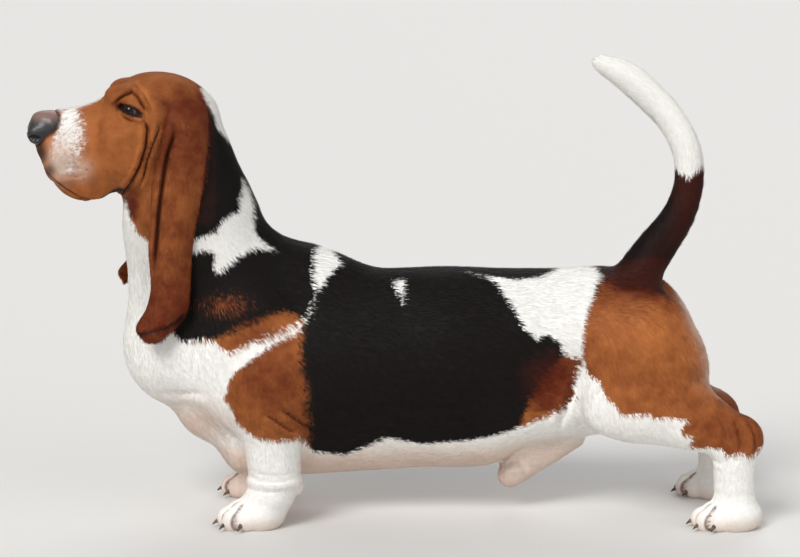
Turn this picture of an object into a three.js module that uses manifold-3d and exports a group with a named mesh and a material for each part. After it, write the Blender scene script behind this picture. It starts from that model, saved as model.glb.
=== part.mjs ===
// A basset hound standing in profile, at life size, as a still display model.
// Millimetres. +Z is up, the nose points to -X and the hound's left side faces -Y.
// Soft forms are blended from a few named masses. A capsule is then shrunk onto each form,
// the pieces are parted by thin cuts, and ears, eyes, nose, toes and claws are fitted to them.
import * as THREE from "three";
import { mergeVertices } from "three/addons/utils/BufferGeometryUtils.js";
import Module from "manifold-3d";

const wasm = await Module();
wasm.setup();

// Driving dimensions
const GAP = 0.3; // between two pieces that touch
const BACK_HEIGHT = 327; // top of the back over the loin
const WITHERS_HEIGHT = 358;
const SKULL_TOP = 589;
const CHEST_FLOOR = 41; // loose skin of the chest above the ground
const CHEST_HALF_WIDTH = 98;
const FOREPAW = { x: { left: -186, right: -190 }, y: { left: 78, right: 56 }, size: 1, turn: 24 };
const HINDPAW = { x: { left: 434, right: 429 }, y: { left: 84, right: 59 }, size: 0.96, turn: 16 };
const HOCK_LEAD = { left: 0, right: 10 }; // the right hock sits further forward and lower
const EYE = { x: -341, y: 44, z: 544, radius: 11.5, lid: 2.6 };
const EAR_THICKNESS = 5;
const FAR_EAR = { swing: 53, length: 0.87 }; // the right ear hangs further forward and less low
const SIDES = { left: -1, right: 1 };

// Blended forms
const smoothMin = (a, b, blend) => {
  const overlap = Math.max(blend - Math.abs(a - b), 0) / blend;
  return Math.min(a, b) - (overlap * overlap * blend) / 4;
};

// An egg-shaped mass. A positive pitch lifts its front, and yaw turns it about the vertical.
function mass(at, radii, { pitch = 0, yaw = 0, roll = 0, blend = 20, dent = false } = {}) {
  const turn = new THREE.Euler(
    THREE.MathUtils.degToRad(roll),
    THREE.MathUtils.degToRad(pitch),
    THREE.MathUtils.degToRad(yaw),
    "ZYX",
  );
  const inverse = new THREE.Matrix4().makeRotationFromEuler(turn).setPosition(...at).invert();
  const local = new THREE.Vector3();
  const distance = (point) => {
    local.copy(point).applyMatrix4(inverse);
    const [x, y, z] = [local.x / radii[0], local.y / radii[1], local.z / radii[2]];
    const scaled = Math.hypot(x, y, z);
    if (scaled < 1e-6) return -Math.min(...radii);
    const slope = Math.hypot(x / radii[0], y / radii[1], z / radii[2]);
    return (scaled * (scaled - 1)) / slope;
  };
  return { distance, blend, dent };
}

// A tapered rounded shaft. Its width along Y is its height times flat.
function shaft(from, to, startRadius, endRadius, { flat = 1, blend = 20, dent = false } = {}) {
  const start = new THREE.Vector3(...from);
  const along = new THREE.Vector3(...to).sub(start);
  const lengthSquared = along.lengthSq();
  const offset = new THREE.Vector3();
  const distance = (point) => {
    offset.subVectors(point, start);
    const share = THREE.MathUtils.clamp(offset.dot(along) / lengthSquared, 0, 1);
    offset.addScaledVector(along, -share);
    return Math.hypot(offset.x, offset.y / flat, offset.z)
      - THREE.MathUtils.lerp(startRadius, endRadius, share);
  };
  return { distance, blend, dent };
}

// The same mass on both sides of the hound, from the place of the left one.
function massPair(at, radii, { yaw = 0, roll = 0, ...rest } = {}) {
  const [x, y, z] = at;
  return Object.values(SIDES).map((side) =>
    mass([x, side * Math.abs(y), z], radii, { yaw: -side * yaw, roll: -side * roll, ...rest }));
}

const distanceTo = (form, point) =>
  form.reduce((so_far, part) => {
    const next = part.distance(point);
    return part.dent
      ? -smoothMin(-so_far, next, part.blend)
      : smoothMin(so_far, next, part.blend);
  }, 1e6);

// The point where a ray from inside a form first leaves it, grown outward by grow.
function surfacePoint(form, origin, direction, grow = 0) {
  const LONGEST = 420;
  const point = new THREE.Vector3();
  const depthAt = (reach) =>
    distanceTo(form, point.copy(origin).addScaledVector(direction, reach)) - grow;
  let inside = 0;
  let outside = 0.5;
  for (let depth = depthAt(outside); depth < 0 && outside < LONGEST; depth = depthAt(outside)) {
    inside = outside;
    outside += Math.max(1.5, -0.55 * depth);
  }
  for (let step = 0; step < 14; step++) {
    const middle = (inside + outside) / 2;
    if (depthAt(middle) < 0) inside = middle;
    else outside = middle;
  }
  return origin.clone().addScaledVector(direction, outside);
}

// Solids
function solidFrom(geometry) {
  const bare = new THREE.BufferGeometry()
    .setAttribute("position", geometry.getAttribute("position"))
    .setIndex(geometry.getIndex());
  const merged = mergeVertices(bare, 1e-3);
  const corners = merged.getIndex().array;
  const kept = [];
  for (let i = 0; i < corners.length; i += 3) {
    const [a, b, c] = corners.slice(i, i + 3);
    if (a !== b && b !== c && c !== a) kept.push(a, b, c);
  }
  const solid = new wasm.Manifold(new wasm.Mesh({
    numProp: 3,
    vertProperties: merged.getAttribute("position").array,
    triVerts: new Uint32Array(kept),
  }));
  if (solid.volume() > 0) return solid;
  return new wasm.Manifold(new wasm.Mesh({
    numProp: 3,
    vertProperties: merged.getAttribute("position").array,
    triVerts: new Uint32Array(kept.reverse()),
  }));
}

// A capsule shrunk onto a form: each of its points slides out from the spine to the surface.
function wrap(form, spine, { rings, sides, caps = 4, grow = 0 }) {
  const curve = new THREE.CatmullRomCurve3(spine.map((p) => new THREE.Vector3(...p)));
  const geometry = new THREE.CapsuleGeometry(1, 1, caps, sides, rings);
  const position = geometry.getAttribute("position");
  const [across, up, aim] = [new THREE.Vector3(), new THREE.Vector3(), new THREE.Vector3()];
  for (let i = 0; i < position.count; i++) {
    const along = THREE.MathUtils.clamp(position.getY(i) + 0.5, 0, 1);
    const tangent = curve.getTangentAt(along);
    up.crossVectors(new THREE.Vector3(0, 1, 0), tangent).normalize();
    across.crossVectors(tangent, up);
    aim.copy(across).multiplyScalar(position.getX(i))
      .addScaledVector(up, position.getZ(i))
      .addScaledVector(tangent, position.getY(i) + 0.5 - along)
      .normalize();
    position.setXYZ(i, ...surfacePoint(form, curve.getPointAt(along), aim, grow));
  }
  return solidFrom(geometry);
}

// A ball, stretched, turned and placed.
function ball(at, radii, { pitch = 0, yaw = 0, roll = 0, across = 10, down = 8 } = {}) {
  const turn = new THREE.Euler(
    THREE.MathUtils.degToRad(roll),
    THREE.MathUtils.degToRad(pitch),
    THREE.MathUtils.degToRad(yaw),
    "ZYX",
  );
  const geometry = new THREE.SphereGeometry(1, across, down).rotateX(Math.PI / 2);
  geometry.scale(...radii);
  geometry.applyMatrix4(new THREE.Matrix4().makeRotationFromEuler(turn).setPosition(...at));
  return solidFrom(geometry);
}

// The largest closed surface of a solid, with any scrap left out.
const largest = (solid) =>
  solid.decompose().sort((a, b) => b.volume() - a.volume())[0];

const fuse = (solids) => largest(wasm.Manifold.union(solids));

// A plane that parts two pieces, by a point on it and the direction of the front piece.
function parting(x, z, slope) {
  const facing = new THREE.Vector3(-Math.cos(slope), 0, Math.sin(slope));
  const offset = facing.dot(new THREE.Vector3(x, 0, z));
  return {
    front: (solid) => solid.trimByPlane(facing.toArray(), offset + GAP / 2),
    behind: (solid) => solid.trimByPlane(facing.clone().negate().toArray(), GAP / 2 - offset),
  };
}

const onGround = (solid) => solid.trimByPlane([0, 0, 1], 0);

// The trunk: one blended form from rump to nose
const torsoMasses = [
  shaft([-165, 0, 198], [70, 0, 205], 110, 106, { flat: CHEST_HALF_WIDTH / 112 }),
  shaft([70, 0, 220], [240, 0, 240], 96, 80, { flat: 0.86, blend: 30 }),
  mass([285, 0, 246], [92, 80, 76], { blend: 30 }),
  shaft([100, 0, 130], [258, 0, 160], 50, 58, { flat: 1.1, blend: 30 }),
  shaft([-120, 0, BACK_HEIGHT - 46], [275, 0, BACK_HEIGHT - 45], 49, 40, { blend: 30 }),
  shaft([-190, 0, CHEST_FLOOR + 51], [110, 0, CHEST_FLOOR + 68], 48, 46, { flat: 1.1, blend: 40 }),
  mass([-286, 0, 219], [76, 74, 77], { blend: 30 }),
  mass([-246, 0, 142], [48, 46, 46], { pitch: -30, blend: 30 }),
  mass([-128, 0, WITHERS_HEIGHT - 38], [76, 42, 44], { pitch: 14, blend: 44 }),
  ...massPair([-205, 60, 225], [66, 34, 90], { pitch: 14, blend: 30 }),
  mass([316, 0, 302], [34, 26, 25], { pitch: -30, blend: 20 }),
];
const sheathMasses = [
  shaft([152, 0, 46], [232, 0, 100], 18, 20, { blend: 16 }),
  shaft([160, 0, 62], [190, 0, 112], 16, 26, { blend: 16 }),
];
const neckMasses = [
  shaft([-222, 0, 290], [-268, 0, 400], 88, 83, { flat: 0.8, blend: 40 }),
  shaft([-269, 0, 400], [-288, 0, 512], 84, 62, { flat: 0.8, blend: 12 }),
  mass([-330, 0, 340], [24, 20, 105], { pitch: 2, blend: 40 }),
];
const headMasses = [
  mass([-314, 0, SKULL_TOP - 56], [67, 58, 57], { blend: 24 }),
  mass([-264, 0, 541], [24, 24, 18], { blend: 14 }),
  ...massPair([-355, 31, 559], [25, 20, 18], { pitch: 10, blend: 12 }),
  shaft([-372, 0, 521], [-458, 0, 506], 36, 24, { blend: 20 }),
  shaft([-365, 0, 494], [-438, 0, 488], 48, 32, { flat: 0.94, blend: 20 }),
  ...massPair([-402, 29, 471], [49, 17, 49], { pitch: 4, yaw: 6, blend: 16 }),
  ...massPair([-436, 17, 474], [23, 15, 30], { pitch: 16, blend: 12 }),
  ...massPair([-343, 42, 500], [40, 19, 50], { blend: 20 }),
  mass([-332, 0, 462], [42, 42, 42], { blend: 20 }),
  ...massPair([-364, 62, 541], [26, 18, 20], { yaw: 20, blend: 14, dent: true }),
];
const trunk = [...torsoMasses, ...neckMasses, ...headMasses];

const torsoSpine = [[325, 0, 255], [180, 0, 228], [0, 0, 208], [-150, 0, 210], [-250, 0, 240]];
const neckSpine = [[-215, 0, 225], [-245, 0, 330], [-275, 0, 430], [-290, 0, 500], [-300, 0, 545]];
const headSpine = [[-262, 0, 556], [-330, 0, 534], [-395, 0, 514], [-450, 0, 503]];

const neckFromTorso = parting(-360, 248, THREE.MathUtils.degToRad(59));
const headFromNeck = parting(-360, 426, THREE.MathUtils.degToRad(41));

const TORSO_MESH = { rings: 26, sides: 28, caps: 4 };
const HEAD_MESH = { rings: 25, sides: 38, caps: 4 };
const torsoWhole = fuse([
  wrap(trunk, torsoSpine, TORSO_MESH),
  wrap(sheathMasses, [[158, 0, 52], [188, 0, 76], [222, 0, 104]], { rings: 6, sides: 12, caps: 3 }),
]);
const torso = largest(neckFromTorso.behind(torsoWhole));
const neck = largest(headFromNeck.behind(neckFromTorso.front(
  wrap(trunk, neckSpine, { rings: 16, sides: 26 }))));
const torsoGrown = wrap(trunk, torsoSpine, { ...TORSO_MESH, grow: GAP });

// The tail: a chain of shafts along one upright curve, each with its radius at the start
const tailJoints = [
  [316, 318, 30], [341, 356, 26], [368, 396, 22], [382, 440, 19.5], [379, 484, 19.5],
  [359, 524, 19.5], [327, 559, 20.5], [296, 585, 19], [264, 602, 10],
];
const tailMasses = tailJoints.slice(1).map(([x, z, radius], i) => {
  const [fromX, fromZ, fromRadius] = tailJoints[i];
  return shaft([fromX, 0, fromZ], [x, 0, z], fromRadius, radius, { blend: 3 });
});
const tailSpine = tailJoints.map(([x, z]) => [x, 0, z]);
tailSpine[8] = [tailJoints[8][0] + 8, 0, tailJoints[8][1] - 3];
const tail = largest(
  wrap(tailMasses, tailSpine, { rings: 24, sides: 14, caps: 3 }).subtract(torsoGrown));

// Paws: four arched toes in a fan, each with a claw
const TOES = [
  { spread: 40, reach: 26, radius: 12.5 },
  { spread: 13, reach: 35, radius: 13.5 },
  { spread: -13, reach: 35, radius: 13.5 },
  { spread: -40, reach: 26, radius: 12.5 },
];
function paw(side, x, y, { size, turn }) {
  const toes = [];
  const claws = [];
  for (const { spread, reach, radius } of TOES) {
    const heading = THREE.MathUtils.degToRad(spread + turn);
    const forward = [-Math.cos(heading), side * Math.sin(heading)];
    const at = (distance, height) =>
      [x + forward[0] * distance * size, y + forward[1] * distance * size, height * size];
    const yaw = -side * (spread + turn);
    const r = radius * size;
    toes.push(ball(at(reach, 12), [r * 1.25, r, r * 1.22], { yaw, pitch: -14, across: 9, down: 6 }));
    toes.push(ball(at(reach - 13, 21), [r * 1.25, r, r * 1.12], { yaw, pitch: -26, across: 8, down: 5 }));
    claws.push({ at: at(reach + 13, 10), heading, side, size });
  }
  return { toes, claws };
}

// A claw: a horn turned on a lathe profile, then hooked downward.
function clawSolid({ at, heading, side, size }) {
  const CLAW = { length: 13, radius: 4, hook: 6 };
  const profile = [[0, -5], [0.9, -3.5], [1, 1], [0.7, 8], [0, CLAW.length]].map(
    ([r, z]) => new THREE.Vector2(r * CLAW.radius * size, z * size));
  const geometry = new THREE.LatheGeometry(profile, 7).rotateZ(Math.PI / 2);
  const position = geometry.getAttribute("position");
  for (let i = 0; i < position.count; i++) {
    const out = Math.max(-position.getX(i), 0) / CLAW.length;
    position.setZ(i, position.getZ(i) - CLAW.hook * out * out);
  }
  geometry.rotateZ(-side * heading);
  geometry.translate(...at);
  return solidFrom(geometry);
}

// Legs
function foreleg(name) {
  const side = SIDES[name];
  const [x, y] = [FOREPAW.x[name], side * FOREPAW.y[name]];
  const elbow = side * 74;
  const form = [
    mass([-176, elbow, 178], [52, 38, 66], { pitch: 6, blend: 20 }),
    shaft([-164, elbow, 150], [-160, y, 66], 42, 35, { flat: 0.86, blend: 20 }),
    mass([-161, y, 61], [37, 32, 12], { blend: 6 }),
    mass([-166, y, 40], [33, 32, 25], { blend: 8 }),
    mass([x + 5, y, 16], [36, 37, 28], { blend: 12 }),
    mass([-131, y, 52], [9, 10, 11], { blend: 5 }),
  ];
  const spine = [[-178, elbow, 225], [-166, elbow, 140], [-161, y, 70], [-170, y, 30]];
  const column = wrap(form, spine, { rings: 15, sides: 16, caps: 3 });
  const { toes, claws } = paw(side, x, y, FOREPAW);
  const leg = largest(onGround(fuse([column, ...toes])).subtract(torsoGrown));
  return { leg, claws };
}

function hindleg(name) {
  const side = SIDES[name];
  const [x, y] = [HINDPAW.x[name], side * HINDPAW.y[name]];
  const lead = HOCK_LEAD[name];
  const hip = side * 60;
  const stifle = side * 73;
  const form = [
    mass([328, hip, 240], [62, 38, 72], { pitch: -8, blend: 20 }),
    mass([328, side * 64, 200], [82, 36, 78], { pitch: -24, blend: 24 }),
    mass([288, stifle, 156], [46, 26, 40], { blend: 24 }),
    shaft([325, stifle, 156], [x - 10, y, 124], 45, 30, { flat: 0.76, blend: 24 }),
    shaft([388 - lead, side * 70, 175 - lead], [x + 12 - lead, y, 130 - lead], 20, 17, { blend: 14 }),
    mass([x + 19 - lead, y, 119 - lead / 2], [27, 23, 30], { pitch: -14, blend: 14 }),
    shaft([x + 5, y, 105], [x + 8, y, 44], 28, 27, { flat: 0.92, blend: 14 }),
    mass([x + 8, y, 16], [38, 36, 28], { blend: 12 }),
  ];
  const spine = [
    [335, hip, 255], [318, side * 68, 190], [360, stifle, 146], [x - 4, y, 118],
    [x + 7, y, 80], [x + 4, y, 30],
  ];
  const column = wrap(form, spine, { rings: 22, sides: 16, caps: 3 });
  const { toes, claws } = paw(side, x, y, HINDPAW);
  const leg = largest(onGround(fuse([column, ...toes])).subtract(torsoGrown));
  return { leg, claws };
}

// The head: skull and muzzle, a lower jaw inside the lips, lids round each eye and the nose
const noseForm = [
  mass([-463, 0, 511], [22, 19, 19], { pitch: 12, blend: 6 }),
  mass([-455, 0, 523], [16, 14, 9], { pitch: 12, blend: 10 }),
  ...massPair([-464, 15, 507], [15, 8, 12], { blend: 8 }),
];
const noseSpine = [[-453, 0, 513], [-465, 0, 511]];
const NOSE_MESH = { rings: 3, sides: 14, caps: 4 };
const noseGrown = wrap(noseForm, noseSpine, { ...NOSE_MESH, grow: GAP });
const nostrils = Object.values(SIDES).flatMap((side) => [
  ball([-483, side * 9, 511], [7, 4.4, 5.4], { across: 7, down: 6 }),
  ball([-474, side * 20, 508], [10, 7, 2], { yaw: -side * 35, pitch: -8, across: 7, down: 4 }),
]);
const nose = largest(wrap(noseForm, noseSpine, NOSE_MESH).subtract(wasm.Manifold.union(nostrils)));

const jawForm = (grow) => wrap(
  [shaft([-340, 0, 470], [-424, 0, 454], 36 + grow, 20 + grow, { flat: 0.9 })],
  [[-345, 0, 468], [-424, 0, 454]], { rings: 6, sides: 14, caps: 3 });

function headSolid() {
  const MOUTH_GAP = 2.4;
  const eyeAt = (side) => [EYE.x, side * EYE.y, EYE.z];
  const lidRadius = EYE.radius + EYE.lid;
  const skull = headFromNeck.front(wrap(trunk, headSpine, HEAD_MESH));
  const underLips = new THREE.BoxGeometry(150, 120, 100).translate(-445, 0, 412);
  const mouthGap = jawForm(MOUTH_GAP).intersect(solidFrom(underLips));
  let head = skull.subtract(mouthGap).add(jawForm(0).intersect(skull));
  for (const side of Object.values(SIDES)) {
    head = head.add(ball(eyeAt(side), [lidRadius, lidRadius, lidRadius], { across: 12, down: 9 }));
  }
  for (const side of Object.values(SIDES)) {
    const socket = EYE.radius + GAP;
    const opening = [EYE.x - 3, side * (EYE.y + 13), EYE.z - 1];
    head = head
      .subtract(ball(eyeAt(side), [socket, socket, socket], { across: 12, down: 9 }))
      .subtract(ball(opening, [14, 14, 6.4], { pitch: 18, yaw: side * 22, across: 12 }));
  }
  const lipGroove = ball([-468, 0, 484], [11, 1.5, 17], { across: 8, down: 8 });
  return largest(head.subtract(noseGrown).subtract(lipGroove));
}
const head = headSolid();

// The ears: long leathers hung from the skull. Each row gives a height and both edges there.
const earRows = [
  [568, -282, -252], [545, -293, -239], [500, -293, -238], [450, -300, -248], [400, -311, -259],
  [365, -321, -264], [320, -317, -267], [292, -321, -270], [268, -335, -284], [250, -329, -303],
].reverse();
function earSolid(side, { swing, length }) {
  const edge = (column) =>
    new THREE.CatmullRomCurve3(earRows.map((row) => new THREE.Vector3(row[column], 0, row[0])));
  const [front, back] = [edge(1), edge(2)];
  const geometry = new THREE.BoxGeometry(1, 1, 1, 6, 1, 17);
  const position = geometry.getAttribute("position");
  const outward = new THREE.Vector3(0, side, 0);
  for (let i = 0; i < position.count; i++) {
    const [u, face, v] = [position.getX(i) + 0.5, position.getY(i) + 0.5, position.getZ(i) + 0.5];
    const { x, z } = front.getPoint(v).lerp(back.getPoint(v), u);
    const height = earRows.at(-1)[0] + (z - earRows.at(-1)[0]) * length;
    const lie = Math.abs(surfacePoint(trunk, new THREE.Vector3(x, 0, height), outward).y);
    const hang = THREE.MathUtils.lerp(88, 50, v);
    const free = THREE.MathUtils.smoothstep(1 - v, 0, 0.16);
    const cup = 52 * u * (1 - u) * free;
    const away = -smoothMin(-lie - 2, -hang, 20) + cup - 15 * (1 - free);
    const forward = swing * Math.sin((1 - v) * 1.5);
    position.setXYZ(i, x - forward, side * (away + face * EAR_THICKNESS), height);
  }
  return solidFrom(geometry);
}

// The exported group
const COAT = { white: "#e9e4db", tan: "#8a4520", black: "#17120f" };
const finish = (color, roughness = 0.85, metalness = 0) =>
  new THREE.MeshStandardMaterial({ color, roughness, metalness });
const dog = new THREE.Group();

function place(name, solid, material) {
  const { numProp, vertProperties, triVerts, numVert } = solid.getMesh();
  const position = new Float32Array(numVert * 3);
  for (let i = 0; i < numVert; i++)
    position.set(vertProperties.subarray(i * numProp, i * numProp + 3), i * 3);
  const geometry = new THREE.BufferGeometry()
    .setAttribute("position", new THREE.BufferAttribute(position, 3))
    .setIndex(new THREE.BufferAttribute(triVerts, 1));
  geometry.computeVertexNormals();
  const mesh = new THREE.Mesh(geometry, material);
  mesh.name = name;
  dog.add(mesh);
  return mesh;
}

place("torso", torso, finish(COAT.black));
place("neck", neck, finish(COAT.black));
place("head", head, finish(COAT.tan));
place("tail", tail, finish(COAT.white));
place("nose", nose, finish("#1d1a1c", 0.45));
const trunkGrown = [
  wrap(trunk, headSpine, { ...HEAD_MESH, grow: GAP }),
  wrap(trunk, neckSpine, { rings: 16, sides: 26, grow: GAP }),
  torsoGrown,
];
for (const [name, side] of Object.entries(SIDES)) {
  const eyeRadii = [EYE.radius, EYE.radius, EYE.radius];
  const eye = ball([EYE.x, side * EYE.y, EYE.z], eyeRadii, { across: 12, down: 9 });
  place(`eye_${name}`, eye, finish("#2a1409", 0.15));
  const ear = earSolid(side, name === "right" ? FAR_EAR : { swing: 0, length: 1 });
  const trimmed = largest(trunkGrown.reduce((left, form) => left.subtract(form), ear));
  place(`ear_${name}`, trimmed, finish(COAT.tan));
  const limbs = { foreleg: foreleg(name), hindleg: hindleg(name) };
  for (const [limb, { leg, claws }] of Object.entries(limbs)) {
    const solids = claws.map(clawSolid);
    const bare = largest(leg.subtract(wasm.Manifold.union(solids)));
    place(`${limb}_${name}`, bare, finish(COAT.white));
    solids.forEach((claw, i) => place(`claw_${limb}_${name}_${i + 1}`, claw, finish("#4a3a30", 0.4)));
  }
}

// The origin is the middle of the bounding box, at the level of the soles.
const box = new THREE.Box3().setFromObject(dog);
const middle = box.getCenter(new THREE.Vector3());
dog.position.set(-middle.x, -middle.y, -box.min.z);

export default dog;
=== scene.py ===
"""A basset hound standing in profile, at life size, as a still display model.

The flesh is one skin drawn over the solids of the frame, shaped by blended masses, then creased
and folded. A short coat of fine tapered tufts lies over it. Eyes, nose pad and claws are separate.
Masses are in millimetres in the hound's own frame: the nose points to -X, its left side faces -Y.
"""
from __future__ import annotations

import logging
import math
from dataclasses import dataclass, field
from enum import Enum
from typing import Any, Callable, Iterable, Sequence

import bmesh
import bpy
import numpy as np
from mathutils import Matrix, Vector


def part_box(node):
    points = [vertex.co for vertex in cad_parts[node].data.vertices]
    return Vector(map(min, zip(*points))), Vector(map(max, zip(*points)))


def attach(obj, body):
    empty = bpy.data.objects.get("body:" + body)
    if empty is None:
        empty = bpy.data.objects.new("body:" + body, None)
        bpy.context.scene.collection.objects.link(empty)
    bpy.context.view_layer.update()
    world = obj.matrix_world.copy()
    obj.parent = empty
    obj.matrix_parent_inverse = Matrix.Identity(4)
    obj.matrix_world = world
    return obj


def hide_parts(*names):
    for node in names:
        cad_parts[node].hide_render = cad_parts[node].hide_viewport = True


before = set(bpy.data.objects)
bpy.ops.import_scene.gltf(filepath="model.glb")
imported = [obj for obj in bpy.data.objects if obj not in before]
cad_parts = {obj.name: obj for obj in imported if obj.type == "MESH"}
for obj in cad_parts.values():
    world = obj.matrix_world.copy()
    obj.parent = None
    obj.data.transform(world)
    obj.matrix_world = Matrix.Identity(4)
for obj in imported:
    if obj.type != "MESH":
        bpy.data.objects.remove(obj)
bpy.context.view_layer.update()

LOG = logging.getLogger("basset")
SIDES = {"left": -1.0, "right": 1.0}
LIMBS = ("foreleg", "hindleg")
REACH = 55.0  # how far past its own size a mass is still felt, in millimetres
NOWHERE = 1e6  # a distance past everything
Array = np.ndarray
Point = tuple[float, float, float]
Colour = tuple[float, float, float]
Outline = Sequence[tuple[float, float]]
Chooser = Callable[[Array], Array]


# --- Blended masses ---
def smooth_min(a: Array, b: Array, blend: float) -> Array:
    """Joins two distances with a fillet.

    Args:
        a: Distances to the first form.
        b: Distances to the second form.
        blend: Width of the fillet.

    Returns:
        The distances to the joined form.
    """
    overlap = np.maximum(blend - np.abs(a - b), 0) / blend
    return np.minimum(a, b) - overlap * overlap * blend / 4


def lengths_of(vectors: Array) -> Array:
    """Returns the length of each vector."""
    return np.sqrt(np.einsum("ij,ij->i", vectors, vectors))


@dataclass(frozen=True)
class Zone:
    """A box seen from the side, in millimetres. A range that isn't given is open."""

    x: tuple[float, float] = (-NOWHERE, NOWHERE)
    z: tuple[float, float] = (-NOWHERE, NOWHERE)

    def holds(self, points: Array) -> Array:
        """Returns which points lie in the zone."""
        x, z = points[:, 0], points[:, 2]
        return (x > self.x[0]) & (x < self.x[1]) & (z > self.z[0]) & (z < self.z[1])


def within(*zones: Zone) -> Chooser:
    """Returns a function that tells which points lie in any of the zones."""
    return lambda points: np.any([zone.holds(points) for zone in zones], axis=0)


def through(values: Array, spots: Array) -> Array:
    """Returns a smooth curve through evenly spaced values, at each spot along it.

    Args:
        values: Evenly spaced values.
        spots: Places along them.

    Returns:
        The curve at those places.
    """
    i = np.clip(spots.astype(int), 0, len(values) - 2)
    t = spots - i
    padded = np.concatenate([[2 * values[0] - values[1]], values, [2 * values[-1] - values[-2]]])
    a, b, c, d = (padded[i + k] for k in range(4))
    return 0.5 * (2 * b + (c - a) * t + (2 * a - 5 * b + 4 * c - d) * t ** 2
                  + (3 * b - a - 3 * c + d) * t ** 3)


def ramp(value: Array, low: float, high: float) -> Array:
    """Rises smoothly from 0 at low to 1 at high."""
    t = np.clip((value - low) / (high - low), 0, 1)
    return t * t * (3 - 2 * t)


def furthest_within(inside: Chooser, limit: float, count: int, rounds: int) -> Array:
    """Finds by halving how far each of several rays runs before it leaves a form.

    Args:
        inside: Function from one distance a ray to whether the ray is still inside there.
        limit: A distance at which every ray is outside.
        count: Number of rays.
        rounds: Number of halvings.

    Returns:
        The distances.
    """
    low, high = np.zeros(count), np.full(count, limit)
    for _ in range(rounds):
        middle = (low + high) / 2
        still = inside(middle)
        low, high = np.where(still, middle, low), np.where(still, high, middle)
    return low


@dataclass(frozen=True)
class Mass:
    """An egg-shaped mass. A positive pitch lifts its front, and yaw turns it about the vertical."""

    at: Point
    radii: Point
    pitch: float = 0
    yaw: float = 0
    roll: float = 0
    blend: float = 20
    dent: bool = False

    def distance(self, points: Array) -> Array:
        """Returns the distance of each point from the mass, negative inside.

        Args:
            points: The points, in millimetres.

        Returns:
            The distances.
        """
        turn = (
            Matrix.Rotation(math.radians(self.yaw), 3, "Z")
            @ Matrix.Rotation(math.radians(self.pitch), 3, "Y")
            @ Matrix.Rotation(math.radians(self.roll), 3, "X")
        )
        q = (points - np.array(self.at)) @ np.array(turn) / np.array(self.radii)
        scaled = lengths_of(q)
        slope = lengths_of(q / np.array(self.radii))
        return scaled * (scaled - 1) / np.maximum(slope, 1e-9)

    def near(self, points: Array) -> Array:
        """Returns which points are close enough for the mass to matter."""
        reach = max(self.radii) + REACH
        return lengths_of(points - np.array(self.at)) < reach


@dataclass(frozen=True)
class Shaft:
    """A tapered rounded shaft. Its width along Y is its height times flat."""

    start: Point
    end: Point
    start_radius: float
    end_radius: float
    flat: float = 1
    blend: float = 20
    dent: bool = False

    def distance(self, points: Array) -> Array:
        """Returns the distance of each point from the shaft, negative inside.

        Args:
            points: The points, in millimetres.

        Returns:
            The distances.
        """
        along = np.array(self.end, float) - np.array(self.start)
        offset = points - np.array(self.start)
        share = np.clip(offset @ along / (along @ along), 0, 1)
        offset = offset - share[:, None] * along
        offset[:, 1] /= self.flat
        radius = self.start_radius + (self.end_radius - self.start_radius) * share
        return lengths_of(offset) - radius

    def near(self, points: Array) -> Array:
        """Returns which points are close enough for the shaft to matter.

        Args:
            points: The points, in millimetres.

        Returns:
            True for those that are.
        """
        start, end = np.array(self.start, float), np.array(self.end, float)
        reach = lengths_of((end - start)[None])[0] / 2 + max(self.start_radius, self.end_radius)
        return lengths_of(points - (start + end) / 2) < reach + REACH


def both(at: Point, radii: Point, yaw: float = 0, roll: float = 0, **rest: Any) -> list[Mass]:
    """Makes the same mass on both sides of the hound, from the place of the left one.

    Args:
        at: Place of the left one.
        radii: Its three radii.
        yaw: Its turn about the vertical.
        roll: Its turn about its length.
        rest: Its other settings.

    Returns:
        The two masses.
    """
    x, y, z = at
    return [Mass((x, s * abs(y), z), radii, yaw=-s * yaw, roll=-s * roll, **rest)
            for s in SIDES.values()]


@dataclass(frozen=True)
class Form:
    """A chain of blended masses."""

    parts: tuple[Mass | Shaft, ...]

    def distance(self, points: Array) -> Array:
        """Returns the distance of each point from the form, negative inside.

        Args:
            points: The points, in millimetres.

        Returns:
            The distances.
        """
        total = np.full(len(points), NOWHERE / 1000)
        for part in self.parts:
            close = part.near(points)
            if not close.any():
                continue
            so_far, next_one = total[close], part.distance(points[close])
            if part.dent:
                total[close] = -smooth_min(-so_far, next_one, part.blend)
            else:
                total[close] = smooth_min(so_far, next_one, part.blend)
        return total


@dataclass(frozen=True)
class Body:
    """Several forms grown together, each with the width of its fillet to the ones before it."""

    forms: tuple[tuple[Form, float], ...]

    def distance(self, points: Array) -> Array:
        """Returns the distance of each point from the whole body, negative inside.

        Args:
            points: The points, in millimetres.

        Returns:
            The distances.
        """
        total = np.full(len(points), NOWHERE)
        for form, blend in self.forms:
            total = smooth_min(total, form.distance(points), blend)
        return total

    def settle(self, points: Array, depth: Array | float, rounds: int = 3,
               reach: float = 5.0) -> Array:
        """Moves points onto the surface that lies a given depth inside the body.

        Args:
            points: Points near the surface.
            depth: How far inside the body the surface lies.
            rounds: Number of corrections.
            reach: Furthest move in one correction.

        Returns:
            The moved points.
        """
        step = 0.4
        points = points.copy()
        for _ in range(rounds):
            here = self.distance(points)
            slope = np.empty_like(points)
            for axis in range(3):
                beside = points.copy()
                beside[:, axis] += step
                slope[:, axis] = (self.distance(beside) - here) / step
            length = np.maximum(np.linalg.norm(slope, axis=1), 0.2)
            move = np.clip((here + depth) / length, -reach, reach)
            points -= slope / length[:, None] * move[:, None]
        return points


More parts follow.
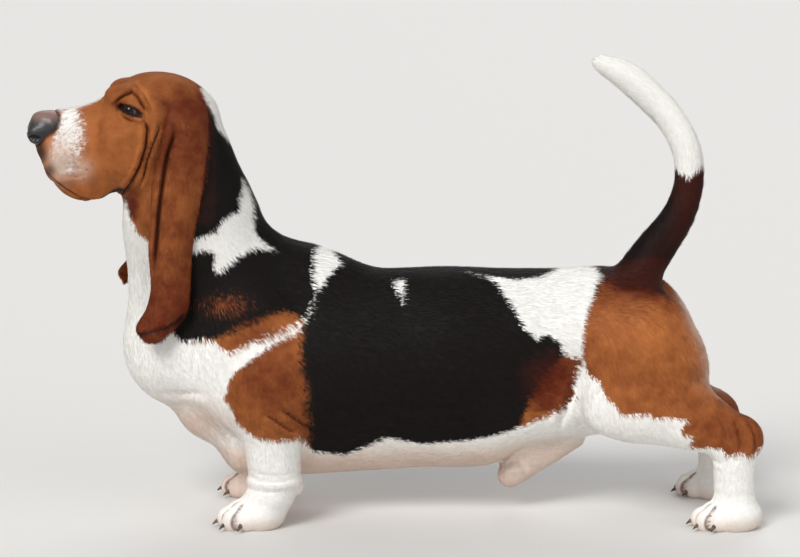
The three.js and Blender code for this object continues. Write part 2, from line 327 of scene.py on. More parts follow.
# --- The hound's measurements ---
@dataclass(frozen=True)
class Paw:
    """Place and size of one paw, with the turn of its toes outward."""

    x: float
    y: float
    size: float
    turn: float
    side: float

    TOES = ((40, 26, 12.5), (13, 35, 13.5), (-13, 35, 13.5), (-40, 26, 12.5))
    CLEFTS = (26.5, 0, -26.5)

    def place(self, spread: float, reach: float, height: float) -> Point:
        """Returns a point over the toe that spreads by that angle, at a reach and a height.

        Args:
            spread: The toe's angle to the paw's heading, in degrees.
            reach: Distance from the paw's middle.
            height: Height over the floor.

        Returns:
            The point.
        """
        heading = math.radians(spread + self.turn)
        return (self.x - math.cos(heading) * reach * self.size,
                self.side * (self.y + math.sin(heading) * reach * self.size),
                height * self.size)

    def toes(self) -> list[Mass]:
        """Returns the masses of the four toes, each arched at its knuckle.

        Returns:
            The masses.
        """
        masses = []
        for spread, reach, radius in self.TOES:
            r = radius * self.size
            yaw = -self.side * (spread + self.turn)
            masses.append(Mass(self.place(spread, reach, 12), (r * 1.25, r * 0.97, r * 1.2),
                               yaw=yaw, pitch=-14, blend=3.5))
            masses.append(Mass(self.place(spread, reach - 13, 21), (r * 1.25, r * 0.97, r * 1.12),
                               yaw=yaw, pitch=-26, blend=4))
        return masses

    def clefts(self) -> list[Mass]:
        """Returns the thin dents between the toes."""
        return [Mass(self.place(spread, 38, 19), (17, 1.1, 18), blend=3.2, dent=True,
                     yaw=-self.side * (spread + self.turn)) for spread in self.CLEFTS]


@dataclass(frozen=True)
class Measurements:
    """The masses of every part of the hound, in millimetres."""

    back_height: float = 327
    withers_height: float = 358
    skull_top: float = 589
    chest_floor: float = 41
    chest_half_width: float = 98
    eye: Point = (-341, 44, 544)
    eye_radius: float = 11.5

    def paw(self, limb: str, name: str) -> Paw:
        """Returns the paw of one limb.

        Args:
            limb: "foreleg" or "hindleg".
            name: "left" or "right".

        Returns:
            The paw's place and size.
        """
        places = {
            ("foreleg", "left"): (-186, 78, 1, 24), ("foreleg", "right"): (-190, 56, 1, 24),
            ("hindleg", "left"): (434, 84, 0.96, 16), ("hindleg", "right"): (429, 59, 0.96, 16),
        }
        return Paw(*places[limb, name], side=SIDES[name])

    def paws(self) -> list[Paw]:
        """Returns all four paws."""
        return [self.paw(limb, name) for limb in LIMBS for name in SIDES]

    def torso(self) -> list[Mass | Shaft]:
        """Returns the masses of chest, barrel, loin and withers.

        Returns:
            The masses.
        """
        floor = self.chest_floor
        return [
            Shaft((-165, 0, 198), (70, 0, 205), 110, 106, flat=self.chest_half_width / 112),
            Shaft((70, 0, 220), (240, 0, 240), 96, 80, flat=0.86, blend=30),
            Mass((285, 0, 246), (92, 80, 76), blend=30),
            Shaft((100, 0, 130), (258, 0, 160), 50, 58, flat=1.1, blend=30),
            Shaft((-120, 0, self.back_height - 46), (275, 0, self.back_height - 45), 49, 40,
                  blend=30),
            Shaft((-190, 0, floor + 51), (110, 0, floor + 68), 48, 46, flat=1.1, blend=40),
            Mass((-286, 0, 219), (76, 74, 77), blend=30),
            Mass((-246, 0, 142), (48, 46, 46), pitch=-30, blend=30),
            Mass((-128, 0, self.withers_height - 38), (76, 42, 44), pitch=14, blend=44),
            *both((-205, 60, 225), (66, 34, 90), pitch=14, blend=30),
            Mass((316, 0, 302), (34, 26, 25), pitch=-30, blend=20),
        ]

    def sheath(self) -> list[Mass | Shaft]:
        """Returns the masses under the belly.

        Returns:
            The masses.
        """
        return [
            Shaft((152, 0, 46), (232, 0, 100), 18, 20, blend=16),
            Shaft((160, 0, 62), (190, 0, 112), 16, 26, blend=16),
        ]

    def neck(self) -> list[Mass | Shaft]:
        """Returns the masses of the neck and the loose skin in front of it.

        Returns:
            The masses.
        """
        return [
            Shaft((-222, 0, 290), (-268, 0, 400), 88, 83, flat=0.8, blend=40),
            Shaft((-269, 0, 400), (-288, 0, 512), 84, 62, flat=0.8, blend=12),
            Mass((-330, 0, 340), (24, 20, 105), pitch=2, blend=40),
        ]

    def _skull(self) -> list[Mass | Shaft]:
        """Returns the masses of the skull."""
        return [Mass((-314, 0, self.skull_top - 56), (67, 58, 57), blend=24),
                Mass((-264, 0, 541), (24, 24, 18), blend=14)]

    def _jowls(self) -> list[Mass | Shaft]:
        """Returns the masses of flews, cheeks and throat, and the hollows before the eyes.

        Returns:
            The masses.
        """
        return [
            *both((-402, 29, 471), (49, 17, 49), pitch=4, yaw=6, blend=16),
            *both((-436, 17, 474), (23, 15, 30), pitch=16, blend=12),
            *both((-343, 42, 500), (40, 19, 50), blend=20),
            Mass((-332, 0, 462), (42, 42, 42), blend=20),
            *both((-364, 62, 541), (26, 18, 20), yaw=20, blend=14, dent=True),
        ]

    def head(self) -> list[Mass | Shaft]:
        """Returns the masses of the head as the solids have them.

        Returns:
            The masses.
        """
        return [
            *self._skull(),
            *both((-355, 31, 559), (25, 20, 18), pitch=10, blend=12),
            Shaft((-372, 0, 521), (-458, 0, 506), 36, 24, blend=20),
            Shaft((-365, 0, 494), (-438, 0, 488), 48, 32, flat=0.94, blend=20),
            *self._jowls(),
        ]

    def head_flesh(self) -> list[Mass | Shaft]:
        """Returns the masses of the head as the skin wraps them, with room for eyes and nose.

        Returns:
            The masses.
        """
        return [
            *self._skull(),
            *both((-353, 30, 559), (25, 20, 18), pitch=10, blend=14),
            Shaft((-372, 0, 521), (-452, 0, 509), 36, 22, blend=20),
            Mass((-428, 0, 521), (34, 13, 17), pitch=10, blend=14),
            Shaft((-365, 0, 494), (-438, 0, 487), 48, 30, flat=0.94, blend=20),
            *self._jowls(),
            *both(self.eye, (13.6, 13.6, 13.6), blend=8),
        ]

    def foreleg(self, name: str) -> list[Mass | Shaft]:
        """Returns the masses of one foreleg above its toes.

        Args:
            name: "left" or "right".

        Returns:
            The masses.
        """
        paw = self.paw("foreleg", name)
        x, y, elbow = paw.x, paw.side * paw.y, paw.side * 74
        return [
            Mass((-176, elbow, 178), (52, 38, 66), pitch=6, blend=20),
            Shaft((-164, elbow, 150), (-160, y, 66), 42, 35, flat=0.86, blend=20),
            Mass((-161, y, 61), (37, 32, 12), blend=6),
            Mass((-166, y, 40), (33, 32, 25), blend=8),
            Mass((x + 5, y, 16), (36, 37, 28), blend=12),
            Mass((-131, y, 52), (9, 10, 11), blend=5),
        ]

    def hindleg(self, name: str) -> list[Mass | Shaft]:
        """Returns the masses of one hind leg above its toes.

        Args:
            name: "left" or "right".

        Returns:
            The masses.
        """
        paw = self.paw("hindleg", name)
        lead = 10 if name == "right" else 0
        x, y, side = paw.x, paw.side * paw.y, paw.side
        return [
            Mass((328, side * 60, 240), (62, 38, 72), pitch=-8, blend=20),
            Mass((328, side * 64, 200), (82, 36, 78), pitch=-24, blend=24),
            Mass((288, side * 73, 156), (46, 26, 40), blend=24),
            Shaft((325, side * 73, 156), (x - 10, y, 124), 45, 30, flat=0.76, blend=24),
            Shaft((388 - lead, side * 70, 175 - lead), (x + 12 - lead, y, 130 - lead), 20, 17,
                  blend=14),
            Mass((x + 19 - lead, y, 119 - lead / 2), (27, 23, 30), pitch=-14, blend=14),
            Shaft((x + 5, y, 105), (x + 8, y, 44), 28, 27, flat=0.92, blend=14),
            Mass((x + 8, y, 16), (38, 36, 28), blend=12),
        ]

    LIPS = ((-479, 0, 496), (-473, 0.5, 481), (-464, 7, 465), (-454, 13, 452), (-437, 19, 441),
            (-415, 25, 427), (-395, 29, 422), (-372, 30, 429), (-355, 32, 446))
    TAIL = ((316, 318, 30), (341, 356, 26), (368, 396, 22), (382, 440, 19.5), (379, 484, 19.5),
            (359, 524, 19.5), (327, 559, 20.5), (296, 585, 19.5), (266, 600, 13))

    def tail(self) -> list[Mass | Shaft]:
        """Returns the chain of shafts of the upright tail, bent evenly through its joints.

        Returns:
            The shafts.
        """
        joints = np.array(self.TAIL, float)
        spots = np.linspace(0, len(joints) - 1, 3 * len(joints) - 2)
        points = np.stack([through(joints[:, i], spots) for i in range(3)], 1).tolist()
        chain = zip(points, points[1:])
        return [Shaft((ax, 0, az), (bx, 0, bz), ar, br, blend=3)
                for (ax, az, ar), (bx, bz, br) in chain]

    def nose_bulk(self) -> list[Mass | Shaft]:
        """Returns the masses of the nose pad before its nostrils are cut.

        Returns:
            The masses.
        """
        return [
            Shaft((-447, 0, 515), (-464, 0, 512), 22, 18.5, flat=1.08, blend=6),
            Mass((-455, 0, 526), (20, 15, 11), pitch=14, blend=10),
            *both((-464, 14, 508), (17, 9, 13), yaw=10, blend=7),
        ]

    def nose(self) -> list[Mass | Shaft]:
        """Returns the masses of the nose pad, with its nostrils as dents.

        Returns:
            The masses.
        """
        return [*self.nose_bulk(),
                Mass((-490, 0, 502), (9, 1.6, 12), blend=4, dent=True),
                *both((-485, 9.5, 512), (9, 4.6, 5.6), yaw=14, blend=3, dent=True),
                *both((-474, 22, 505), (15, 7, 2.8), yaw=40, pitch=-8, blend=4, dent=True)]


HOUND = Measurements()


class Part(Enum):
    """The named parts that the coat is divided by."""

    HEAD = 0
    NECK = 1
    TORSO = 2
    TAIL = 3
    FORELEG_LEFT = 4
    FORELEG_RIGHT = 5
    HINDLEG_LEFT = 6
    HINDLEG_RIGHT = 7
    EAR_LEFT = 8
    EAR_RIGHT = 9


def is_ear(parts: Array) -> Array:
    """Returns which part numbers are an ear's."""
    return np.isin(parts, (Part.EAR_LEFT.value, Part.EAR_RIGHT.value))


@dataclass(frozen=True)
class Place:
    """Turns the hound's own millimetres into the frame's metres and back."""

    shift: Array

    @staticmethod
    def from_eyes() -> "Place":
        """Returns the place of the hound, read from its two eyes in the frame.

        Returns:
            The place.
        """
        shifts = []
        for name, side in SIDES.items():
            lo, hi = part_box(f"eye_{name}")
            x, y, z = HOUND.eye
            shifts.append(np.array((lo + hi) / 2) * 1000 - np.array((x, side * y, z)))
        return Place(np.mean(shifts, axis=0))

    def to_frame(self, points: Array) -> Array:
        """Returns metres in the frame."""
        return (points + self.shift) / 1000

    def to_hound(self, points: Array) -> Array:
        """Returns millimetres in the hound's own frame."""
        return points * 1000 - self.shift


PLACE = Place.from_eyes()


# --- Meshes ---
def rows_of(items: bpy.types.bpy_prop_collection, key: str, kind: type = float,
            width: int = 3) -> Array:
    """Reads one property of every item.

    Args:
        items: The items.
        key: The property.
        kind: Type of its numbers.
        width: How many numbers each item has.

    Returns:
        One row an item.
    """
    values = np.empty(len(items) * width, kind)
    items.foreach_get(key, values)
    return values.reshape(-1, width)


def coordinates(mesh: bpy.types.Mesh) -> Array:
    """Returns a mesh's vertices in the hound's millimetres."""
    return PLACE.to_hound(rows_of(mesh.vertices, "co"))


def place_vertices(mesh: bpy.types.Mesh, points: Array) -> None:
    """Moves a mesh's vertices to points given in the hound's millimetres."""
    mesh.vertices.foreach_set("co", PLACE.to_frame(points).ravel())
    mesh.update()


def vertex_normals(mesh: bpy.types.Mesh) -> Array:
    """Returns a mesh's vertex normals."""
    return rows_of(mesh.vertex_normals, "vector")


def edge_ends(mesh: bpy.types.Mesh) -> Array:
    """Returns the two vertices of each edge."""
    return rows_of(mesh.edges, "vertices", np.int32, 2)


def relaxed(points: Array, ends: Array, strength: Array | float, rounds: int = 1) -> Array:
    """Moves each point toward the middle of its neighbours.

    Args:
        points: The points.
        ends: The two vertices of each edge.
        strength: Share of the way, one for all or one for each point.
        rounds: Number of passes.

    Returns:
        The moved points.
    """
    count = np.bincount(ends.ravel(), minlength=len(points)).astype(float)
    count = np.maximum(count, 1)
    weight = np.broadcast_to(strength, (len(points),))[:, None]
    for _ in range(rounds):
        middle = np.empty_like(points)
        for axis in range(3):
            total = np.bincount(ends[:, 0], points[ends[:, 1], axis], len(points))
            total += np.bincount(ends[:, 1], points[ends[:, 0], axis], len(points))
            middle[:, axis] = total / count
        points = points + weight * (middle - points)
    return points


def mesh_of(bm: bmesh.types.BMesh, name: str) -> bpy.types.Mesh:
    """Turns a bmesh into a mesh of that name and frees it.

    Args:
        bm: The bmesh.
        name: The mesh's name.

    Returns:
        The mesh.
    """
    mesh = bpy.data.meshes.new(name)
    bm.to_mesh(mesh)
    bm.free()
    return mesh


def new_piece(name: str, mesh: bpy.types.Mesh) -> bpy.types.Object:
    """Links a mesh to the scene as one piece of the hound.

    Args:
        name: The piece's name.
        mesh: Its mesh.

    Returns:
        The piece.
    """
    piece = bpy.data.objects.new(name, mesh)
    bpy.context.scene.collection.objects.link(piece)
    return piece


def finished(piece: bpy.types.Object, material: bpy.types.Material,
             nodes: Iterable[str] = ()) -> bpy.types.Object:
    """Dresses a piece, rides it on the body and lets it stand for its nodes.

    Args:
        piece: The piece.
        material: Its finish.
        nodes: CAD nodes that the piece replaces.

    Returns:
        The piece.
    """
    piece.data.materials.clear()
    piece.data.materials.append(material)
    piece.data.polygons.foreach_set("use_smooth", [True] * len(piece.data.polygons))
    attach(piece, "root")
    names = list(nodes)
    if names:
        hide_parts(*names)
    LOG.info("%s: %d faces", piece.name, len(piece.data.polygons))
    return piece


def set_vectors(mesh: bpy.types.Mesh, name: str, values: Array) -> None:
    """Stores one vector per vertex as a named attribute."""
    attribute = mesh.attributes.new(name, "FLOAT_VECTOR", "POINT")
    attribute.data.foreach_set("vector", values.astype(np.float32).ravel())


def vectors_of(mesh: bpy.types.Mesh, name: str) -> Array:
    """Returns the vectors of a named attribute."""
    return rows_of(mesh.attributes[name].data, "vector")


# --- Shaders ---
class Value:
    """A node's output that takes part in sums as a number does."""

    def __init__(self, shader: "Shader", socket: bpy.types.NodeSocket) -> None:
        """Wraps a socket of a shader."""
        self.shader = shader
        self.socket = socket

    def _maths(self, operation: str, first: Any, second: Any) -> "Value":
        """Adds one Math node and returns its result."""
        node = self.shader.node("ShaderNodeMath", {"operation": operation}, {0: first, 1: second})
        return Value(self.shader, node.outputs[0])

    def __add__(self, other: Any) -> "Value":
        """Adds."""
        return self._maths("ADD", self, other)

    __radd__ = __add__

    def __sub__(self, other: Any) -> "Value":
        """Subtracts."""
        return self._maths("SUBTRACT", self, other)

    def __rsub__(self, other: Any) -> "Value":
        """Subtracts from a number."""
        return self._maths("SUBTRACT", other, self)

    def __mul__(self, other: Any) -> "Value":
        """Multiplies."""
        return self._maths("MULTIPLY", self, other)

    __rmul__ = __mul__

    def between(self, low: float, high: float) -> "Value":
        """Rises smoothly from 0 at low to 1 at high.

        Args:
            low: Where the rise starts.
            high: Where it ends.

        Returns:
            The new value.
        """
        node = self.shader.node(
            "ShaderNodeMapRange", {"interpolation_type": "SMOOTHSTEP", "clamp": True},
            {"Value": self, "From Min": low, "From Max": high, "To Min": 0.0, "To Max": 1.0})
        return Value(self.shader, node.outputs[0])


class Shader:
    """A material under construction."""

    def __init__(self, name: str) -> None:
        """Starts an empty material with its surface node.

        Args:
            name: The material's name.
        """
        self.material = bpy.data.materials.new(name)
        self.material.use_nodes = True
        self.tree = self.material.node_tree
        self.tree.nodes.clear()
        output = self.node("ShaderNodeOutputMaterial")
        self.surface = self.node("ShaderNodeBsdfPrincipled")
        self.tree.links.new(self.surface.outputs[0], output.inputs["Surface"])

    def node(self, kind: str, settings: dict[str, Any] | None = None,
             sockets: dict[str | int, Any] | None = None) -> bpy.types.Node:
        """Adds a node.

        Args:
            kind: The node's type.
            settings: Its properties.
            sockets: Values or links of its inputs, by name or number.

        Returns:
            The node.
        """
        node = self.tree.nodes.new(kind)
        for key, value in (settings or {}).items():
            setattr(node, key, value)
        for key, value in (sockets or {}).items():
            self.feed(node.inputs[key], value)
        return node

    def feed(self, socket: bpy.types.NodeSocket, value: Any) -> None:
        """Links a value to a socket, or sets the socket to a constant.

        Args:
            socket: The socket.
            value: The value or constant.
        """
        if isinstance(value, Value):
            self.tree.links.new(value.socket, socket)
        elif isinstance(value, tuple) and len(value) == 3 and socket.type == "RGBA":
            socket.default_value = (*value, 1)
        else:
            socket.default_value = value

    def dress(self, **sockets: Any) -> None:
        """Feeds the surface's sockets, named with underscores for spaces."""
        for name, value in sockets.items():
            self.feed(self.surface.inputs[name.replace("_", " ")], value)

    def coordinates(self) -> Value:
        """Returns the Object coordinates."""
        return Value(self, self.node("ShaderNodeTexCoord").outputs["Object"])

    def attribute(self, name: str) -> list[Value]:
        """Returns the three numbers of a vector attribute.

        Args:
            name: The attribute's name.

        Returns:
            The three numbers.
        """
        node = self.node("ShaderNodeAttribute", {"attribute_name": name})
        parts = self.node("ShaderNodeSeparateXYZ", None, {0: Value(self, node.outputs["Vector"])})
        return [Value(self, out) for out in parts.outputs]

    def noise(self, scale: float, stretch: Point = (1, 1, 1), detail: float = 3,
              roughness: float = 0.55) -> Value:
        """Returns noise from 0 to 1 on the Object coordinates.

        Args:
            scale: Number of cells in a metre.
            stretch: Factor on the scale of each axis.
            detail: Number of finer layers.
            roughness: Strength of the finer layers.

        Returns:
            The noise.
        """
        mapping = self.node("ShaderNodeMapping", None,
                            {"Vector": self.coordinates(), "Scale": stretch})
        node = self.node("ShaderNodeTexNoise", None,
                         {"Vector": Value(self, mapping.outputs[0]), "Scale": scale,
                          "Detail": detail, "Roughness": roughness})
        return Value(self, node.outputs[0])

    def mix(self, factor: Any, first: Any, second: Any, blend: str = "MIX") -> Value:
        """Mixes two colours.

        Args:
            factor: Share of the second colour.
            first: The first colour.
            second: The second colour.
            blend: How the second is laid over the first.

        Returns:
            The mixed colour.
        """
        node = self.node("ShaderNodeMix", {"data_type": "RGBA", "blend_type": blend},
                         {0: factor, 6: first, 7: second})
        return Value(self, node.outputs[2])

    def grey(self, value: Value) -> Value:
        """Returns a number as a grey colour."""
        node = self.node("ShaderNodeCombineColor", None, {0: value, 1: value, 2: value})
        return Value(self, node.outputs[0])

    def bump(self, height: Value, distance: float, strength: float = 1.0) -> Value:
        """Returns a normal raised by a height from 0 to 1, over that distance in metres.

        Args:
            height: The height.
            distance: The distance.
            strength: Share of the bump that shows.

        Returns:
            The normal.
        """
        node = self.node("ShaderNodeBump", None,
                         {"Height": height, "Distance": distance, "Strength": strength})
        return Value(self, node.outputs[0])


def paint(red: int, green: int, blue: int) -> Colour:
    """Returns a screen colour as linear light.

    Args:
        red: Its red, from 0 to 255.
        green: Its green.
        blue: Its blue.

    Returns:
        The three linear channels.
    """
    def linear(channel: int) -> float:
        """Returns one channel as linear light."""
        c = channel / 255
        return c / 12.92 if c <= 0.04045 else ((c + 0.055) / 1.055) ** 2.4
    return linear(red), linear(green), linear(blue)


# --- Markings ---
@dataclass(frozen=True)
class Sheet:
    """The flat side drawing that markings and creases are laid out on.

    The drawing is seen from 3.5 m to the side and 12 degrees above. Its units are 1.32 mm at
    the hound's middle plane, and the same drawing serves both sides.
    """

    distance: float = 3500
    elevation: float = 12
    unit: float = 1.32
    target: tuple[float, float] = (4, 314.5)
    centre: tuple[float, float] = (400, 278.5)

    def lay(self, points: Array) -> Array:
        """Returns where points of either side fall on the drawing.

        Args:
            points: The points, in millimetres.

        Returns:
            One spot a point.
        """
        e = math.radians(self.elevation)
        x = points[:, 0] - self.target[0]
        out = np.abs(points[:, 1])
        up = points[:, 2] - self.target[1]
        depth = self.distance - (out * math.cos(e) + up * math.sin(e))
        scale = self.distance / self.unit / depth
        rise = up * math.cos(e) - out * math.sin(e)
        return np.stack([self.centre[0] + scale * x, self.centre[1] - scale * rise], 1)


SHEET = Sheet()


def nearest_on(line: Outline, spots: Array, closed: bool = False) -> tuple[Array, Array, Array]:
    """Measures spots on the drawing against a line.

    Args:
        line: The line's points.
        spots: Spots on the drawing.
        closed: Whether the line's end joins its start.

    Returns:
        For each spot, its distance in millimetres, its share along the line and its side.
    """
    points = np.array(line, float)
    if closed:
        points = np.vstack([points, points[:1]])
    lengths = np.linalg.norm(np.diff(points, axis=0), axis=1)
    starts = np.concatenate([[0], np.cumsum(lengths)])
    best = np.full(len(spots), 1e9)
    share = np.zeros(len(spots))
    side = np.zeros(len(spots))
    for i in range(len(points) - 1):
        step = points[i + 1] - points[i]
        offset = spots - points[i]
        t = np.clip(offset @ step / (step @ step), 0, 1)
        gap = offset - t[:, None] * step
        distance = np.linalg.norm(gap, axis=1)
        closer = distance < best
        best = np.where(closer, distance, best)
        share = np.where(closer, (starts[i] + t * lengths[i]) / starts[-1], share)
        side = np.where(closer, np.sign(step[0] * offset[:, 1] - step[1] * offset[:, 0]), side)
    return best * SHEET.unit, share, side


def inside_by(line: Outline, spots: Array) -> Array:
    """Returns how far each spot lies inside a closed outline, in millimetres, negative outside.

    Args:
        line: The outline.
        spots: Spots on the drawing.

    Returns:
        The distances.
    """
    points = np.array(line, float)
    distance, _, _ = nearest_on(line, spots, closed=True)
    x, y = spots[:, 0], spots[:, 1]
    odd = np.zeros(len(spots), bool)
    for (ax, ay), (bx, by) in zip(points, np.roll(points, -1, axis=0)):
        if ay != by:
            crosses = (ay > y) != (by > y)
            odd ^= crosses & (x < (bx - ax) * (y - ay) / (by - ay) + ax)
    return np.where(odd, distance, -distance)


def near_path(path: Array, points: Array) -> Array:
    """Returns how far points of either side lie from a path, in millimetres.

    Args:
        path: The path's points.
        points: The points, in millimetres.

    Returns:
        The distances.
    """
    points = np.stack([points[:, 0], np.abs(points[:, 1]), points[:, 2]], 1)
    best = np.full(len(points), 1e9)
    for a, b in zip(path, path[1:]):
        offset = points - a
        t = np.clip(offset @ (b - a) / ((b - a) @ (b - a)), 0, 1)
        best = np.minimum(best, lengths_of(offset - t[:, None] * (b - a)))
    return best


@dataclass(frozen=True)
class Spot:
    """A soft round spot on the side drawing, strongest at its middle."""

    x: float
    y: float
    wide: float
    high: float
    strength: float = 1

    def on(self, spots: Array) -> Array:
        """Returns its strength at each place of the drawing."""
        across, down = (spots[:, 0] - self.x) / self.wide, (spots[:, 1] - self.y) / self.high
        return self.strength * np.exp(-across ** 2 - down ** 2)


def strongest(group: Iterable[Spot], spots: Array) -> Array:
    """Returns the strongest of several spots at each place of the drawing."""
    return np.maximum.reduce([spot.on(spots) for spot in group])


@dataclass(frozen=True)
class Markings:
    """The outlines of the hound's three colours on the side drawing, and where they are soft."""

    SADDLE: Outline = (
        (10, 160), (12, 90), (60, 60), (110, 50), (210, 60), (250, 130), (262, 200), (300, 222),
        (400, 235), (600, 240), (640, 240), (640, 262), (597, 265), (593, 262), (597, 277),
        (593, 295), (584.5, 318), (581, 342), (580, 357), (576, 364), (573, 385), (575, 395),
        (569, 402), (552, 412.5), (538, 419), (523, 425), (500, 433), (466, 440), (421, 443),
        (384, 436.5), (364, 446), (343, 454), (313, 450), (305, 441), (299, 436), (291, 439),
        (276, 440), (258, 437), (247, 431), (236, 421), (232, 408), (223, 397.5), (229, 390),
        (226, 384), (231, 375.5), (229, 352), (221, 348), (215, 340), (206, 338), (184, 340),
        (172, 330), (166, 300), (158, 262), (147, 238), (138, 232), (130, 216), (125, 200),
        (110, 206), (60, 205), (20, 180),
    )
    THIGH: Outline = (
        (593, 255), (597, 277), (593, 295), (584.5, 318), (581, 342), (583.5, 360), (589, 375),
        (601, 381), (605, 395), (617, 407), (621, 414.5), (646, 413.5), (662, 415.5), (682, 411),
        (693, 413.5), (684.5, 424), (680, 432), (695, 436), (689, 446), (703, 445), (723, 445),
        (726, 455), (740, 452), (750, 456), (756, 454), (765, 436), (760, 422), (744, 408),
        (735.5, 406), (723, 402), (717, 389), (711, 371), (703, 354), (693, 338), (691, 322),
        (682, 307), (672, 292), (662, 270), (620, 240),
    )
    TAIL: Outline = (
        (600, 262), (620, 240), (640, 215), (655, 190), (662, 168), (674, 171), (688, 183),
        (701, 171), (716, 180), (706, 240), (676, 300), (640, 290),
    )
    WHITE: tuple[Outline, ...] = (
        ((199, 89), (206, 101), (213.5, 116), (216, 126), (228, 140), (236, 144), (240, 130),
         (225, 95), (205, 76)),
        ((241, 176), (249, 192), (252, 207), (252, 229), (257.5, 237.5), (275, 251), (256, 246),
         (238, 254), (230, 261), (224, 268), (216, 271), (212, 265), (214, 255), (212, 249),
         (202, 248), (190, 252), (186, 240), (202, 235), (210.5, 231), (216, 231), (219, 221),
         (228, 214), (237, 210), (238, 196), (241, 189)),
        ((323, 238), (341, 264), (331, 271), (323, 282), (317, 291), (315, 303), (309, 317),
         (302, 327), (298, 333.5), (278, 342), (262, 351), (249, 360), (237, 370), (225, 384),
         (215, 370), (222, 356), (229, 352), (247, 344), (270, 335.5), (290, 325), (302, 319),
         (309, 307), (314, 293), (309, 278), (311, 262), (311, 250)),
        ((390, 281), (404, 278), (403, 295), (404, 309), (401, 304), (393, 288.5)),
        ((465, 271), (482, 275), (500, 277), (514, 279), (535, 277), (549, 272), (557, 264),
         (587, 264), (595, 267), (600, 276), (595, 287), (592, 299), (585, 316), (582, 337),
         (581.5, 358), (569, 358), (561, 354), (557, 344), (549, 336), (538, 335), (538, 342),
         (528, 335), (521, 326), (511, 309), (500, 294), (494, 283), (480, 277), (466, 272)),
    )
    MUZZLE: Outline = ((60, 112), (70, 106), (76, 108), (79, 122), (80, 138), (76, 156), (70, 172),
                       (62, 172), (55, 158), (56, 136))
    BLACK: tuple[Outline, ...] = (
        ((206, 80), (245, 130), (262, 200), (325, 225), (330, 320), (302, 321), (285, 313),
         (262, 317), (240, 326), (222, 338), (186, 344), (172, 335), (150, 240), (190, 240),
         (203, 180), (208, 130)),
        ((300, 225), (620, 230), (612, 262), (598, 288), (585, 316), (572, 344), (548, 370),
         (530, 400), (518, 432), (500, 437), (466, 446), (421, 449), (384, 442), (364, 452),
         (343, 460), (306, 455), (308, 424), (302, 389), (299, 367), (299, 330), (296, 300)),
    )

    FRECKLES: Outline = ((58, 114.5), (61, 125), (63.5, 134), (77, 149), (75.5, 176), (86, 169),
                         (77, 168), (70, 143), (83, 178), (68, 163), (92, 163), (66, 119))

    # Where borders are soft, where tan is deeper, and the brown ticking in the black shoulder
    SOFT = (Spot(258, 325, 60, 22), Spot(548, 388, 30, 38), Spot(632, 275, 60, 26),
            Spot(74, 140, 60, 75, 1.18), Spot(715, 350, 34, 60), Spot(305, 400, 10, 45))
    DEEP_JAW = Spot(131, 203, 9, 14, 0.9)
    DEEP_LEGS = (Spot(268, 385, 42, 36, 0.35), Spot(735, 425, 36, 30, 0.3))
    DEEP_TRUNK = (Spot(640, 278, 52, 24, 0.8), Spot(545, 385, 36, 40, 0.65),
                  Spot(650, 335, 34, 28, -0.3))
    TICKING = Spot(224, 303, 50, 23)
    # Where skin shows through the hair, where it is dark, and the painted shade in the eye's inner
    # corner
    BARE_CHEST = Spot(190, 425, 50, 30, 0.7)
    BARE_MUZZLE = (Spot(60, 160, 16, 22), Spot(80, 168, 14, 14, 0.7))
    DARK_MUZZLE = (Spot(40, 153, 9, 15, 0.8), Spot(49, 170, 9, 9, 0.65), Spot(62, 183, 13, 5, 0.45),
                   Spot(62, 164, 24, 18, 0.36), Spot(62, 138, 26, 30, 0.2))
    EYE_CORNER = Spot(120, 107, 7, 5, 0.85)

    HEAD = Zone(x=(-NOWHERE, -235), z=(400, NOWHERE))
    EYES = Zone(x=(-NOWHERE, -300), z=(505, NOWHERE))
    BUTTOCK_OUT, BUTTOCK_WIDTH = 60, 20
    NO_HAIR = -30  # stands for a place far outside a colour
    FRECKLE_RADIUS = 1.7

    def at(self, points: Array, spots: Array, ears: Array, hide: "Hide") -> tuple[Array, Array]:
        """Returns the markings of each point.

        Args:
            points: The points, in millimetres.
            spots: Where they fall on the side drawing.
            ears: Which of them belong to an ear.
            hide: The skin, for its lids and creases.

        Returns:
            Two vectors a point: how far it lies inside the white and the black hair and how deep
                its tan is, then how bare it is, how dark its skin is with painted shade round the
                eyes, and how much painted shade lies on it.
        """
        head = ~ears & self.HEAD.holds(points)
        hair = self._hair(points, spots, ears, head)
        bare = self._bare(points, spots, ears, head, hair[:, 0])
        near_eye = head & self.EYES.holds(points) & (np.abs(points[:, 1]) > 25)
        dusk = self._dusk(points, spots, head, near_eye, hide)
        # painted shade in the eye's inner corner and in the clefts between the toes
        hollow_shade = self.EYE_CORNER.on(spots) * near_eye
        clefts = hide.cleft_distance(points)
        hollow_shade = np.maximum(hollow_shade, 0.7 * ramp(clefts, 2.4, 0.6) * ramp(points[:, 2], 38, 30))
        return hair, np.stack([bare, dusk, np.maximum(hide.shade, hollow_shade)], 1)

